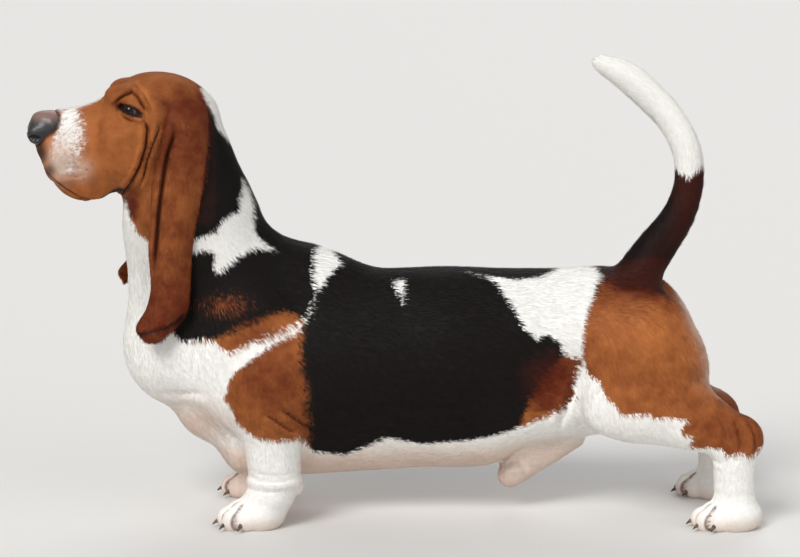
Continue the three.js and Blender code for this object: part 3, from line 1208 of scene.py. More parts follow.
    def _hair(self, points: Array, spots: Array, ears: Array, head: Array) -> Array:
        """Works out the colours of the hair.

        Args:
            points: The points, in millimetres.
            spots: Where they fall on the side drawing.
            ears: Which of them belong to an ear.
            head: Which of them belong to the head.

        Returns:
            How far each point lies inside white and black, and how deep its tan is.
        """
        x, z = points[:, 0], points[:, 2]
        px, py = spots[:, 0], spots[:, 1]
        far = ramp(points[:, 1], 12, 45) * ramp(z, 95, 150) * ~head
        warped = spots + far[:, None] * np.stack(
            [13 * np.sin(py / 37 + 0.6) + 6, 8 * np.sin(px / 41) + 5 * np.sin(px / 17)], 1)
        soft = 1 - 0.7 * strongest(self.SOFT, spots)
        white = np.where(ears, self.NO_HAIR, self.white(warped, points) * soft)
        snout = head & (px < 100) & (z < 520)
        white = np.where(snout, np.minimum(white, 1.9 - 1.9 * ramp(py, 126, 165)), white)
        behind = (x > 320) & (z < 345) & (((z > 152) & (px > 655)) | ((z > 112) & (px > 697)))
        white = np.where(behind, np.minimum(white, -6), white)
        ticking = self.TICKING.on(spots)
        black = np.where(ears, self.NO_HAIR, self.black(warped) * soft)
        black = np.where(ticking > 0.05, np.minimum(black, 12 - 11.3 * ticking), black)
        temple = ramp(px, 138, 176) * ramp(py, 74, 106)
        warm = np.where(head, 0.26 + 0.6 * temple + self.DEEP_JAW.on(spots), 0.45)
        warm += ~head * sum(spot.on(spots) for spot in self.DEEP_LEGS)
        warm = warm + (~head & (z > 150)) * sum(spot.on(spots) for spot in self.DEEP_TRUNK)
        warm = np.where(ears, 0.6 + 0.25 * ramp(z, 420, 280) + 0.3 * ramp(z, 450, 520), warm)
        tail = (z > 345) & (x > 250)
        warm = np.where(tail, 0.74 + 0.42 * ramp(px, 655, 694), warm)
        warm += 0.35 * (ticking > 0.02) * ticking
        return np.stack([white, black, warm], 1)

    def _bare(self, points: Array, spots: Array, ears: Array, head: Array, white: Array) -> Array:
        """Works out where skin shows through thin hair.

        Args:
            points: The points, in millimetres.
            spots: Where they fall on the side drawing.
            ears: Which of them belong to an ear.
            head: Which of them belong to the head.
            white: How far each lies inside the white hair.

        Returns:
            How bare each point is.
        """
        x, out, z = points[:, 0], np.abs(points[:, 1]), points[:, 2]
        belly = ramp(z, 125, 80) * ramp(x, -300, -230) * ramp(x, 320, 250) * ramp(out, 120, 40)
        sheath = ramp(z, 92, 45) * ramp(x, 100, 150) * ramp(x, 260, 200)
        chest = self.BARE_CHEST.on(spots) * ~ears
        muzzle = 0.8 * strongest(self.BARE_MUZZLE, spots) * head
        paws = 0.5 * ramp(z, 34, 6)
        bare = np.maximum.reduce([0.7 * belly, 0.5 * sheath, chest, muzzle, paws])
        bare = bare * np.where(head, 1, ramp(white, -2, 5))
        across = (out - self.BUTTOCK_OUT) / self.BUTTOCK_WIDTH
        buttock = (np.exp(-(across ** 2)) * ramp(x, 348, 384) * ramp(z, 120, 190)
                   * ramp(z, 318, 262))
        return np.maximum(bare, 0.92 * buttock)

    def _dusk(self, points: Array, spots: Array, head: Array, near_eye: Array,
              hide: "Hide") -> Array:
        """Works out where the skin itself is dark, and the painted shade round the eyes.

        Args:
            points: The points, in millimetres.
            spots: Where they fall on the side drawing.
            head: Which of them belong to the head.
            near_eye: Which of them lie round an eye.
            hide: The skin, for its lids and lips.

        Returns:
            How dark each point is.
        """
        lips = ramp(near_path(hide.lips, points), 6.0, 2.6) * head
        nose = ramp(Form(tuple(HOUND.nose_bulk())).distance(points), 4.5, 0.5) * head
        freckles = np.zeros(len(points))
        for x, y in self.FRECKLES:
            away = np.hypot(spots[:, 0] - x, spots[:, 1] - y)
            freckles = np.maximum(freckles, ramp(away, self.FRECKLE_RADIUS, 0.6))
        # the lids' term is dark rim skin and painted shade of the deep-set eye; lips, nose and
        # freckles are dark skin
        return np.maximum.reduce([
            0.95 * hide.LIDS.shadow(spots) * near_eye, 0.85 * lips,
            strongest(self.DARK_MUZZLE, spots) * head, 0.8 * nose, 0.55 * freckles * head])

    def white(self, spots: Array, points: Array) -> Array:
        """Returns how far inside the white hair each point lies, in millimetres.

        Args:
            spots: Spots on the drawing.
            points: The points, in millimetres.

        Returns:
            The distances.
        """
        coloured = np.maximum.reduce(
            [inside_by(line, spots) for line in (self.SADDLE, self.THIGH, self.TAIL)])
        patches = np.maximum.reduce([inside_by(line, spots) for line in self.WHITE])
        x, out, z = points[:, 0], np.abs(points[:, 1]), points[:, 2]
        blaze = np.where(z > 500, np.minimum(7 - out, ramp(x, -360, -374) * 20 - 10), -20)
        patches = np.maximum(patches, np.where(x < -360, blaze, -20))
        patches = np.maximum(patches, inside_by(self.MUZZLE, spots))
        return np.maximum(-coloured, patches)

    def black(self, spots: Array) -> Array:
        """Returns how far inside the black hair each point lies, in millimetres.

        Args:
            spots: Spots on the drawing.

        Returns:
            The distances.
        """
        patches = np.maximum.reduce([inside_by(line, spots) for line in self.BLACK])
        rump = 44 - np.hypot(spots[:, 0] - 630, (spots[:, 1] - 256) * 1.3)
        tail = inside_by(self.TAIL, spots)
        return np.maximum.reduce([patches, rump, tail])


# --- Folds and creases ---
@dataclass(frozen=True)
class Fold:
    """A line on the side drawing along which the skin creases, with a lip beside it if it has one.

    The depth and the lip are in millimetres. A positive lip_side puts the lip to the right of the
    line's direction on the drawing, seen from the hound's left.
    """

    line: Outline
    depth: float
    width: float
    lip: float = 0
    lip_side: float = 1
    fade: tuple[float, float] = (0.15, 0.15)
    # strength of the shade painted into the crease
    dark: float = 0.5

    def height(self, spots: Array) -> tuple[Array, Array]:
        """Returns the rise of the skin at each spot and the painted shade of the crease there.

        Args:
            spots: Spots on the drawing.

        Returns:
            The rise in millimetres, and the painted shade from 0 to 1.
        """
        distance, share, side = nearest_on(self.line, spots)
        ends = ramp(share, 0, self.fade[0]) * ramp(1 - share, 0, self.fade[1])
        groove = np.exp(-((distance / self.width) ** 2)) * ends
        beside = (distance * side * self.lip_side - 1.9 * self.width) / (1.3 * self.width)
        rise = self.lip * np.exp(-(beside ** 2)) * ends - self.depth * groove
        return rise, groove * self.dark * min(abs(self.depth), 1) * (self.depth > 0)


@dataclass(frozen=True)
class Wrinkles:
    """Every fold of the hound, by the part that it lies on."""

    HEAD: tuple[Fold, ...] = (
        Fold(((143, 117), (147, 129), (145.5, 146), (139.5, 166), (131, 182), (123, 193),
              (118, 199)), 4.2, 2.8, 1.8, 1, (0.12, 0.05), 1.0),
        Fold(((156, 118), (158.5, 129), (152, 146), (147, 160), (143, 178), (138, 192)), 3.2, 2.3,
             1.6, 1, (0.2, 0.3), 0.95),
        Fold(((112, 107), (118.5, 99), (126, 94.5), (132, 92), (138, 98), (143, 107), (147, 116)),
             3.2, 2.3, 3.4, -1, (0.12, 0.2), 0.75),
        Fold(((118, 105), (122, 107), (127, 108)), 3.0, 4.5, 0, 1, (0.2, 0.2), 0.6),
        Fold(((119, 113), (125, 118.5), (132, 122), (140, 123), (147, 121)), 1.2, 2.6, 1.4, -1,
             (0.25, 0.25), 0.3),
        Fold(((97, 104), (104, 97), (110, 88), (116, 81)), 1.8, 5.0, 0, 1, (0.3, 0.3), 0.15),
        Fold(((124, 76), (136, 84), (146, 95), (152, 108)), 1.0, 4.0, 1.2, 1, (0.3, 0.3), 0.1),
        Fold(((62, 170), (72, 168), (86, 169)), 0.7, 2.0, 0.5, 1, (0.3, 0.3), 0.12),
        Fold(((66, 176), (76, 177), (88, 175)), 0.6, 2.0, 0.5, 1, (0.3, 0.3), 0.12),
        Fold(((34, 146), (38, 158), (45, 170), (55, 181), (66, 189), (78, 196.5), (92, 200.5),
              (106, 200), (116, 196)), 2.4, 1.5, 1.2, -1, (0.06, 0.1), 0.7),
        Fold(((112, 204), (118, 212), (123, 226), (127, 242)), 2.0, 3.5, 1.2, 1, (0.2, 0.3), 0.1),
        Fold(((122, 196), (129, 214), (137, 230), (146, 240)), 1.6, 3.0, 1.2, 1, (0.2, 0.3), 0.2),
    )
    EAR: tuple[Fold, ...] = (
        Fold(((176, 119), (173, 138), (167.5, 154), (164, 173), (161, 194), (158.5, 215),
              (156.5, 240), (155, 262), (154, 285)), 6.0, 3.4, 2.6, 1, (0.12, 0.25), 0.95),
        Fold(((192, 150), (196, 180), (196, 215), (194, 250)), 2.2, 6.0, 1.0, 1, (0.3, 0.3), 0.25),
        Fold(((180, 130), (182, 160), (180, 200), (176, 240), (172, 280), (170, 305)), -2.0, 6.0,
             0, 1, (0.3, 0.3), 0),
        Fold(((134, 333), (149, 331.5), (165, 328), (178, 320), (189, 307)), 1.2, 3.2, 0, 1,
             (0.02, 0.2), 1.0),
    )
    BODY: tuple[Fold, ...] = (
        Fold(((262, 413), (273, 419), (285, 427), (298, 434)), 2.8, 3.2, 1.2, 1, (0.25, 0.2), 0.8),
        Fold(((277, 407), (290, 415), (303, 424), (314, 431)), 2.8, 3.0, 1.2, 1, (0.25, 0.15), 0.8),
        Fold(((304, 372), (307, 400), (308, 425), (306, 445)), 3.0, 5.0, 2.0, 1, (0.4, 0.1), 0.2),
        Fold(((576, 372), (570, 396), (563, 415), (556, 432)), 3.0, 5.0, 2.0, 1, (0.3, 0.2), 0.15),
        Fold(((606, 380), (594, 398), (588, 414)), 2.0, 4.0, 1.0, 1, (0.3, 0.2), 0.1),
        Fold(((150, 392), (170, 394), (195, 393), (215, 399)), 1.8, 4.0, 1.0, 1, (0.3, 0.3), 0.1),
        Fold(((196, 402), (212, 418), (226, 436), (238, 458)), 2.4, 4.0, 1.4, 1, (0.3, 0.3), 0.12),
        Fold(((132, 262), (134, 290), (133, 318)), 2.2, 5.0, 1.2, 1, (0.3, 0.3), 0.05),
        Fold(((146, 262), (147, 296), (142, 330)), 2.2, 6.0, 1.0, 1, (0.3, 0.3), 0.05),
        Fold(((700, 356), (708, 378), (716, 394), (726, 404)), 1.6, 4.0, 1.0, 1, (0.3, 0.3), 0.1),
        Fold(((246, 467), (260, 473), (280, 475), (303, 469)), 0.5, 2.4, 0, 1, (0.25, 0.25), 0.6),
        Fold(((252, 480), (266, 482), (284, 481), (299, 476)), 0.4, 1.7, 0, 1, (0.3, 0.3), 0.6),
        Fold(((256, 490), (268, 492), (282, 490), (296, 483)), 0.4, 1.8, 0, 1, (0.3, 0.3), 0.6),
        Fold(((731, 414), (737, 430), (740, 443), (738, 456)), 1.8, 2.3, 1.2, 1, (0.25, 0.25),
             0.45),
        Fold(((743, 414), (753, 432), (756, 446), (751, 459)), 1.6, 2.3, 1.0, 1, (0.25, 0.25),
             0.45),
        Fold(((713, 410), (722, 426), (727, 444)), 1.4, 2.3, 0.8, 1, (0.3, 0.3), 0.4),
        Fold(((702, 452), (716, 462), (732, 463), (744, 456)), 1.2, 2.4, 0.6, 1, (0.3, 0.3), 0.15),
        Fold(((505, 470), (514, 466), (522, 468), (527, 476)), 1.4, 2.4, 0.8, 1, (0.3, 0.3), 0.2),
    )


@dataclass(frozen=True)
class Lids:
    """The almond opening of the eye, drawn on the side drawing."""

    centre: tuple[float, float] = (131.2, 111.2)
    half_width: float = 14.5
    upper: float = 3.7
    lower: float = 3.9
    tilt: float = 22
    rim: float = 13.0
    behind: float = 8.6

    def across(self, spots: Array) -> tuple[Array, Array]:
        """Returns each spot's place along and above the opening's axis, in millimetres.

        Args:
            spots: Spots on the drawing.

        Returns:
            The places along and above the axis.
        """
        offset = (spots - np.array(self.centre)) * SHEET.unit
        t = math.radians(self.tilt)
        along = offset[:, 0] * math.cos(t) + offset[:, 1] * math.sin(t)
        above = offset[:, 0] * math.sin(t) - offset[:, 1] * math.cos(t)
        return along, above

    def shadow(self, spots: Array) -> Array:
        """Returns how dark the skin round the opening is painted at each spot: dark rim skin and
        painted shade of the deep-set eye.
        """
        along, above = self.across(spots)
        return ramp(1.3 - np.hypot((along + 1.5) / 17.5, above / 6.6), 0, 0.5)

    def edge_distance(self, spots: Array) -> Array:
        """Returns how far each spot lies above or below the lids' edges, negative between them.

        Args:
            spots: Spots on the drawing.

        Returns:
            The distances.
        """
        along, above = self.across(spots)
        share = np.clip(1 - (along / self.half_width) ** 2, 0, 1)
        top, bottom = self.upper * share ** 0.75, self.lower * share ** 0.75
        past = np.abs(along) - self.half_width
        return np.maximum(np.maximum(above - top, -above - bottom), past)


# --- The skin ---
@dataclass
class Ear:
    """One long leather, hung from the skull and cupped below."""

    name: str
    swing: float = 0
    length: float = 1
    thickness: float = 4.2
    across: int = 28
    down: int = 100

    ROWS = ((250, -329, -305), (268, -337, -286), (292, -324, -270), (320, -318, -267),
            (365, -320, -264), (400, -318, -259), (450, -315, -250), (500, -303, -245),
            (545, -293, -246), (566, -290, -267))

    def _edge(self, column: int, v: Array) -> Array:
        """Returns one number of the rows at each share of the height, on a smooth curve."""
        values = np.array([row[column] for row in self.ROWS], float)
        return through(values, v * (len(values) - 1))

    def shape(self, u: Array, v: Array, face: Array, trunk: Body) -> tuple[Array, Array]:
        """Lays the leather out.

        Args:
            u: Share from the front edge to the back edge.
            v: Share from the tip to the root.
            face: 1 on the outer face and 0 on the inner one.
            trunk: The body that the ear lies on.

        Returns:
            The points in millimetres, and the painted shade of the crease that each lies in.
        """
        side = SIDES[self.name]
        front, back, height = self._edge(1, v), self._edge(2, v), self._edge(0, v)
        x = front + (back - front) * u - self.swing * np.sin((1 - v) * 1.5)
        z = self.ROWS[-1][0] + (height - self.ROWS[-1][0]) * self.length
        skull = furthest_within(
            lambda out: trunk.distance(np.stack([x, side * out, z], 1)) < 0, 130.0, len(u), 14)
        hang = skull + ramp(0.92 - v, 0, 0.3) * (88 + (50 - 88) * v - skull)
        free = ramp(1 - v, 0.02, 0.26)
        cup = 46 * u * (1 - u) * free
        away = -smooth_min(-skull - 2.5 * free, -hang, 14 * free + 0.1) + cup - 6 * (1 - free) ** 2
        rounded = np.sqrt(np.clip(1 - np.abs(2 * u - 1) ** 7, 0, 1))
        tip = np.sqrt(np.clip(v / 0.02, 0, 1))
        thick = self.thickness * (0.2 + 0.8 * rounded * tip)
        flat = SHEET.lay(np.stack([x, away, height], 1))
        rise, dark = np.zeros(len(u)), np.zeros(len(u))
        for fold in Wrinkles.EAR:
            up, shade = fold.height(flat)
            rise += up
            dark = np.maximum(dark, shade)
        ripple = 1.6 * np.sin(v * 17 + u * 3) * (1 - v) + 1.2 * np.sin(v * 29 + 1.3) * (1 - v)
        away = away + (rise + ripple) * free + (face - 0.5) * thick
        curl = ramp(0.09 - v, 0, 0.09) * 7
        return np.stack([x, side * (away - curl), z], 1), dark * face * free

    def build(self, trunk: Body) -> tuple[bpy.types.Mesh, Array]:
        """Makes the leather as a thin closed sheet and returns it with the painted shade of its
        creases.

        Args:
            trunk: The body that the ear lies on.

        Returns:
            The mesh, and the painted shade at each vertex.
        """
        bm = bmesh.new()
        bmesh.ops.create_grid(bm, x_segments=self.across, y_segments=self.down, size=0.5)
        outer = bm.faces[:]
        inner = bmesh.ops.extrude_face_region(bm, geom=outer, use_keep_orig=True)["geom"]
        for vertex in inner:
            if isinstance(vertex, bmesh.types.BMVert):
                vertex.co.z = 1
        u = np.array([vertex.co.x + 0.5 for vertex in bm.verts])
        v = np.array([vertex.co.y + 0.5 for vertex in bm.verts])
        face = np.array([vertex.co.z for vertex in bm.verts])
        points, dark = self.shape(u, v, face, trunk)
        for vertex, point in zip(bm.verts, PLACE.to_frame(points)):
            vertex.co = point
        bmesh.ops.recalc_face_normals(bm, faces=bm.faces)
        return mesh_of(bm, f"ear_{self.name}"), dark


@dataclass
class Hide:
    """The one skin over every node of flesh."""

    voxel: float = 0.0067
    coat_depth: float = 1.8
    trunk: Body = field(init=False)
    body: Body = field(init=False)
    object: bpy.types.Object = field(init=False)
    parts: Array = field(init=False)
    shade: Array = field(init=False)
    lips: Array = field(init=False)

    FLESH = ("torso", "neck", "head", "tail", "foreleg_left", "foreleg_right", "hindleg_left",
             "hindleg_right")
    LIDS = Lids()
    FACE = Zone(x=(-NOWHERE, -262), z=(415, NOWHERE))
    FEET = (Zone(z=(-NOWHERE, 60)), Zone(x=(-NOWHERE, -90), z=(-NOWHERE, 84)))
    ELBOWS = Zone(x=(-196, -104), z=(84, 165))
    HOCKS = Zone(x=(402, NOWHERE), z=(92, 172))
    MUZZLE = Zone(x=(-NOWHERE, -318), z=(432, NOWHERE))
    EYE_REACH, TOE_REACH = 23, 36
    MOUTH_DEPTH, MOUTH_WIDTH = 2.2, 1.9

    def __post_init__(self) -> None:
        """Grows the forms of the body together."""
        outer = Form((*HOUND.torso(), *HOUND.neck(), *HOUND.head()))
        self.trunk = Body(((outer, 1.0),))
        trunk = Form((*HOUND.torso(), *HOUND.neck(), *HOUND.head_flesh()))
        limbs = []
        for name in SIDES:
            for limb in LIMBS:
                masses = getattr(HOUND, limb)(name)
                paw = HOUND.paw(limb, name)
                limbs.append((Form((*masses, *paw.toes(), *paw.clefts())), 16.0))
        self.body = Body(((trunk, 1.0), (Form(tuple(HOUND.sheath())), 8.0),
                          (Form(tuple(HOUND.tail())), 12.0), *limbs))

    def _depth(self, points: Array) -> Array:
        """Returns how far the skin lies inside the outer form, thinner on face and feet.

        Args:
            points: The points, in millimetres.

        Returns:
            The depths.
        """
        face = ramp(points[:, 0], -300, -360) * ramp(points[:, 2], 420, 450)
        feet = ramp(points[:, 2], 120, 60)
        return self.coat_depth * (1 - 0.5 * np.maximum(face, feet))

    def _base(self) -> bpy.types.Object:
        """Returns one closed mesh drawn over the solids of the flesh.

        Returns:
            The piece.
        """
        bm = bmesh.new()
        for name in (*self.FLESH, "eye_left", "eye_right", "nose"):
            bm.from_mesh(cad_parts[name].data)
        bmesh.ops.remove_doubles(bm, verts=bm.verts, dist=1e-5)
        base = new_piece("skin", mesh_of(bm, "skin_base"))
        remesh = base.modifiers.new("remesh", "REMESH")
        remesh.mode = "VOXEL"
        remesh.voxel_size = self.voxel
        evaluated = base.evaluated_get(bpy.context.evaluated_depsgraph_get())
        fresh = bpy.data.meshes.new_from_object(evaluated)
        base.modifiers.clear()
        base.data = fresh
        return base

    def _refine(self, mesh: bpy.types.Mesh, chosen: Chooser) -> None:
        """Halves the faces of a chosen region.

        Args:
            mesh: The skin's mesh.
            chosen: Tells which points lie in the region.
        """
        marked = chosen(coordinates(mesh))
        bm = bmesh.new()
        bm.from_mesh(mesh)
        edges = [e for e in bm.edges if marked[e.verts[0].index] and marked[e.verts[1].index]]
        bmesh.ops.subdivide_edges(bm, edges=edges, cuts=1, use_grid_fill=True)
        bm.to_mesh(mesh)
        bm.free()

    def _settle(self, mesh: bpy.types.Mesh, rounds: int, chosen: Chooser = within(Zone())) -> None:
        """Draws the skin tight over the form, with even faces.

        Args:
            mesh: The skin's mesh.
            rounds: Number of passes.
            chosen: Tells which points may move.
        """
        ends = edge_ends(mesh)
        points = coordinates(mesh)
        moved = chosen(points)
        for _ in range(rounds):
            points = relaxed(points, ends, 0.5 * moved, 2)
            points[moved] = self.body.settle(points[moved], self._depth(points[moved]), 2)
        points[:, 2] = np.maximum(points[:, 2], 0)
        place_vertices(mesh, points)

    def _near_eye(self, points: Array) -> Array:
        """Returns which points lie round an eye.

        Args:
            points: The points, in millimetres.

        Returns:
            True for those that do.
        """
        x, y, z = HOUND.eye
        mirrored = points * (1, 0, 1) + (0, 1, 0) * np.abs(points)
        return lengths_of(mirrored - (x, y + 6, z)) < self.EYE_REACH

    def _near_toes(self, points: Array) -> Array:
        """Returns which points lie over the toes."""
        middles = [paw.place(0, 34, 18) for paw in HOUND.paws()]
        return np.any([lengths_of(points - at) < self.TOE_REACH for at in middles], axis=0)

    def build(self) -> bpy.types.Object:
        """Makes the skin with its ears, finer where it creases more.

        Returns:
            The skin.
        """
        self.object = self._base()
        mesh = self.object.data
        self._settle(mesh, 2)
        for zones in ((self.FACE,), self.FEET, (self.ELBOWS,)):
            self._refine(mesh, within(*zones))
        self._settle(mesh, 1, within(Zone(x=(-NOWHERE, 0), z=(400, NOWHERE)),
                                     Zone(z=(-NOWHERE, 70))))
        self._refine(mesh, within(self.HOCKS))
        self._refine(mesh, within(self.MUZZLE))
        self._settle(mesh, 1, within(Zone(x=(-NOWHERE, -310), z=(425, NOWHERE))))
        for chosen, rounds in ((self._near_toes, 2), (self._near_eye, 1)):
            self._refine(mesh, chosen)
            self._settle(mesh, rounds, chosen)
        self._open_lids(mesh)
        self._crease(mesh)
        self._seat_nose(mesh)
        self._join_ears()
        self._name_parts()
        return self.object

    @staticmethod
    def cleft_distance(points: Array) -> Array:
        """Returns how far each point lies from the nearest cleft between two toes."""
        clefts = [cleft for paw in HOUND.paws() for cleft in paw.clefts()]
        return np.min([cleft.distance(points) for cleft in clefts], axis=0)

    def _open_lids(self, mesh: bpy.types.Mesh) -> None:
        """Opens an almond in the skin round each eye and gives it a rim.

        Args:
            mesh: The skin's mesh.
        """
        points = coordinates(mesh)
        spots = SHEET.lay(points)
        gap = self.LIDS.edge_distance(spots)
        for side in SIDES.values():
            eye = np.array(HOUND.eye) * (1, side, 1)
            offset = points - eye
            reach = lengths_of(offset)
            close = (reach < 24) & (offset[:, 1] * side > 0)
            inward = close & (gap < 0)
            outward = np.where(gap < 0, self.LIDS.behind, reach)
            rim = ramp(gap, 3.5, 0.2) * (gap >= 0) * close
            outward = outward + rim * (self.LIDS.rim - outward)
            goal = eye + offset / np.maximum(reach, 1)[:, None] * outward[:, None]
            points = np.where((inward | (rim > 0))[:, None], goal, points)
        place_vertices(mesh, points)

    def _seat_nose(self, mesh: bpy.types.Mesh) -> None:
        """Draws the skin in behind the nose pad, so that the pad sits in a close rim.

        Args:
            mesh: The skin's mesh.
        """
        points = coordinates(mesh)
        depth = Form(tuple(HOUND.nose_bulk())).distance(points)
        behind = np.array((-440, 0, 510.0))
        covered = ramp(depth, 0.6, -0.6) * (points[:, 0] < -438)
        points += (behind - points) * (0.42 * covered)[:, None]
        place_vertices(mesh, points)

    def _crease(self, mesh: bpy.types.Mesh) -> None:
        """Presses the folds into the skin from both sides, and keeps their painted shade.

        Args:
            mesh: The skin's mesh.
        """
        points = coordinates(mesh)
        spots = SHEET.lay(points)
        normals = vertex_normals(mesh)
        facing = ramp(normals[:, 1] * np.sign(points[:, 1]), 0.0, 0.45)
        rise, dark = np.zeros(len(points)), np.zeros(len(points))
        head = (points[:, 2] > 395) & (points[:, 0] < -240)
        inside_eye = (self.LIDS.edge_distance(spots) < 0.6) & head
        for folds, chosen in ((Wrinkles.HEAD, head), (Wrinkles.BODY, ~head)):
            for fold in folds:
                up, shade = fold.height(spots[chosen])
                rise[chosen] += up
                dark[chosen] = np.maximum(dark[chosen], shade)
        rise = np.where(inside_eye, 0, rise) * facing
        path = np.array(HOUND.LIPS, float)
        self.lips = self.body.settle(path, self._depth(path), 6)
        mouth = np.exp(-(near_path(self.lips, points) / self.MOUTH_WIDTH) ** 2) * head
        place_vertices(mesh, points + normals * (rise - self.MOUTH_DEPTH * mouth)[:, None])
        # painted shade in the creases and along the mouth
        self.shade = np.maximum(dark * facing, 0.6 * mouth)

    def _join_ears(self) -> None:
        """Adds both leathers to the skin."""
        bm = bmesh.new()
        bm.from_mesh(self.object.data)
        owners, shades = [np.full(len(bm.verts), -1)], [self.shade]
        for ear, part in ((Ear("left"), Part.EAR_LEFT),
                          (Ear("right", swing=41, length=0.87), Part.EAR_RIGHT)):
            leather, dark = ear.build(self.trunk)
            bm.from_mesh(leather)
            owners.append(np.full(len(dark), part.value))
            shades.append(dark)
        self.object.data = mesh_of(bm, "skin")
        self.parts, self.shade = np.concatenate(owners), np.concatenate(shades)

    def _name_parts(self) -> None:
        """Works out which part of the hound each vertex belongs to."""
        points = coordinates(self.object.data)
        forms = {Part.HEAD: HOUND.head(), Part.NECK: HOUND.neck(), Part.TORSO: HOUND.torso(),
                 Part.TAIL: HOUND.tail()}
        for limb in LIMBS:
            for name in SIDES:
                part = Part[f"{limb}_{name}".upper()]
                forms[part] = getattr(HOUND, limb)(name) + HOUND.paw(limb, name).toes()
        distances = np.stack([Form(tuple(masses)).distance(points) for masses in forms.values()])
        nearest = np.array([part.value for part in forms])[distances.argmin(0)]
        self.parts = np.where(self.parts < 0, nearest, self.parts)


# --- Finishes ---
@dataclass(frozen=True)
class CoatFinish:
    """The three colours of the short coat, the same on skin and tufts, with painted shade in
    creases and hollows.
    """

    white: Colour = paint(247, 245, 240)
    cream: Colour = paint(226, 200, 182)
    tan: Colour = paint(186, 112, 58)
    deep_tan: Colour = paint(102, 38, 16)
    black: Colour = paint(20, 15, 13)
    rust: Colour = paint(66, 26, 17)
    # colour multiplied in as painted shade in creases, the mouth, the eyes' inner corners and the
    # toe clefts
    hollow_shade: Colour = paint(110, 70, 55)
    # dark skin of lips, nose and freckles, and painted shade round the eyes
    dusk: Colour = paint(44, 26, 22)

    def build(self) -> bpy.types.Material:
        """Makes the coat's material.

        Returns:
            The material.
        """
        shader = Shader("short_coat")
        white, black, warm = shader.attribute("marks")
        bare, dusk, shade = shader.attribute("tone")
        chance, along, cover = shader.attribute("strand")
        fine = shader.noise(420, (0.35, 1, 0.35), 4, 0.6)
        broad = shader.noise(16)
        stray = (fine - 0.5) * (12 - 7 * cover) + (chance - 0.5) * cover * 6
        white_here = (white + stray).between(-1.5, 1.5)
        black_here = (black + stray * 1.3 + (broad - 0.5) * 6).between(-3.0, 3.0)
        blotch = shader.noise(60, detail=2, roughness=0.5)
        deep = (warm + (broad - 0.5) * 0.6 + (blotch - 0.5) * 0.7 + (fine - 0.5) * 0.35
                + (chance - 0.5) * 0.25)
        tan = shader.mix(deep.between(-0.1, 1.1), self.tan, self.deep_tan)
        night = shader.mix((warm + (broad - 0.5) * 0.6).between(0.7, 1.2), self.black, self.rust)
        colour = shader.mix(black_here, tan, night)
        pale = shader.mix(white_here, colour, self.white)
        thin = (bare + (broad - 0.5) * 0.35 * bare + (fine - 0.5) * 0.3 * bare).between(0, 1)
        colour = shader.mix(thin, pale, self.cream)
        colour = shader.mix((dusk + (fine - 0.5) * 0.3 * dusk).between(0.05, 0.95), colour,
                            self.dusk)
        light = 0.80 + 0.26 * fine + 0.16 * chance + 0.06 * along
        colour = shader.mix(1.0, colour, shader.grey(light), "MULTIPLY")
        # painted shade: the colour darkens by the tone's shade in creases and hollows
        dark = shader.mix(1.0, colour, self.hollow_shade, "MULTIPLY")
        colour = shader.mix(shade.between(0.05, 0.85), colour, dark)
        shader.dress(Base_Color=colour, Roughness=0.62, Specular_IOR_Level=0.16,
                     Normal=shader.bump(fine, 0.0006, 0.35))
        return shader.material


@dataclass(frozen=True)
class EyeFinish:
    """A dark brown iris with its pupil, in a white that shows at the corners, painted dark as the
    shade of the deep-set eye.
    """

    iris: Colour = paint(46, 23, 12)
    rim: Colour = paint(16, 9, 7)
    # the white is painted dark brown as the shade that lies on the eye under its heavy lids
    white: Colour = paint(96, 66, 56)
    red: Colour = paint(86, 36, 30)
    pupil: Colour = paint(5, 4, 4)

    def build(self) -> bpy.types.Material:
        """Makes the eye's material.

        Returns:
            The material.
        """
        shader = Shader("eye")
        angle = shader.attribute("ring")[0]
        mottle = shader.noise(900)
        fibres = shader.noise(2600, detail=2)
        iris = shader.mix((0.7 * mottle + 0.5 * fibres).between(0.3, 0.9), self.rim, self.iris)
        iris = shader.mix(angle.between(0.58, 0.72), iris, self.rim)
        colour = shader.mix(angle.between(0.34, 0.40), self.pupil, iris)
        white = shader.mix(angle.between(0.9, 1.5), self.white, self.red)
        colour = shader.mix(angle.between(0.74, 0.86), colour, white)
        shader.dress(Base_Color=colour, Roughness=0.15, Specular_IOR_Level=0.2,
                     Coat_Weight=0.22, Coat_Roughness=0.02)
        return shader.material


@dataclass(frozen=True)
class NoseFinish:
    """Damp dark leather with fine pebbles, with painted shade in their seams and a lighter top."""

    dark: Colour = paint(17, 15, 17)
    light: Colour = paint(36, 33, 37)
    top: Colour = paint(140, 106, 94)

    def build(self) -> bpy.types.Material:
        """Makes the nose pad's material.

        Returns:
            The material.
        """
        shader = Shader("nose_leather")
        cells = shader.node("ShaderNodeTexVoronoi", {"feature": "F1"},
                            {"Vector": shader.coordinates(), "Scale": 900.0})
        pebble = Value(shader, cells.outputs["Distance"])
        broad = shader.noise(60)
        # pebble tops lighter and the seams between them darker: painted shade in the seams
        colour = shader.mix(pebble.between(0.0, 0.6), self.light, self.dark)
        # the pad's top is painted lighter: partly thin hair of the bridge, partly painted light on
        # its upward face
        height = shader.node("ShaderNodeSeparateXYZ", {}, {"Vector": shader.coordinates()})
        top = Value(shader, height.outputs["Z"]).between(0.520, 0.536)
        colour = shader.mix(0.85 * top, colour, self.top)
        shader.dress(Base_Color=colour, Roughness=0.3 + 0.2 * broad, Coat_Weight=0.3,
                     Coat_Roughness=0.2, Normal=shader.bump(1 - pebble, 0.0004, 0.8))
        return shader.material


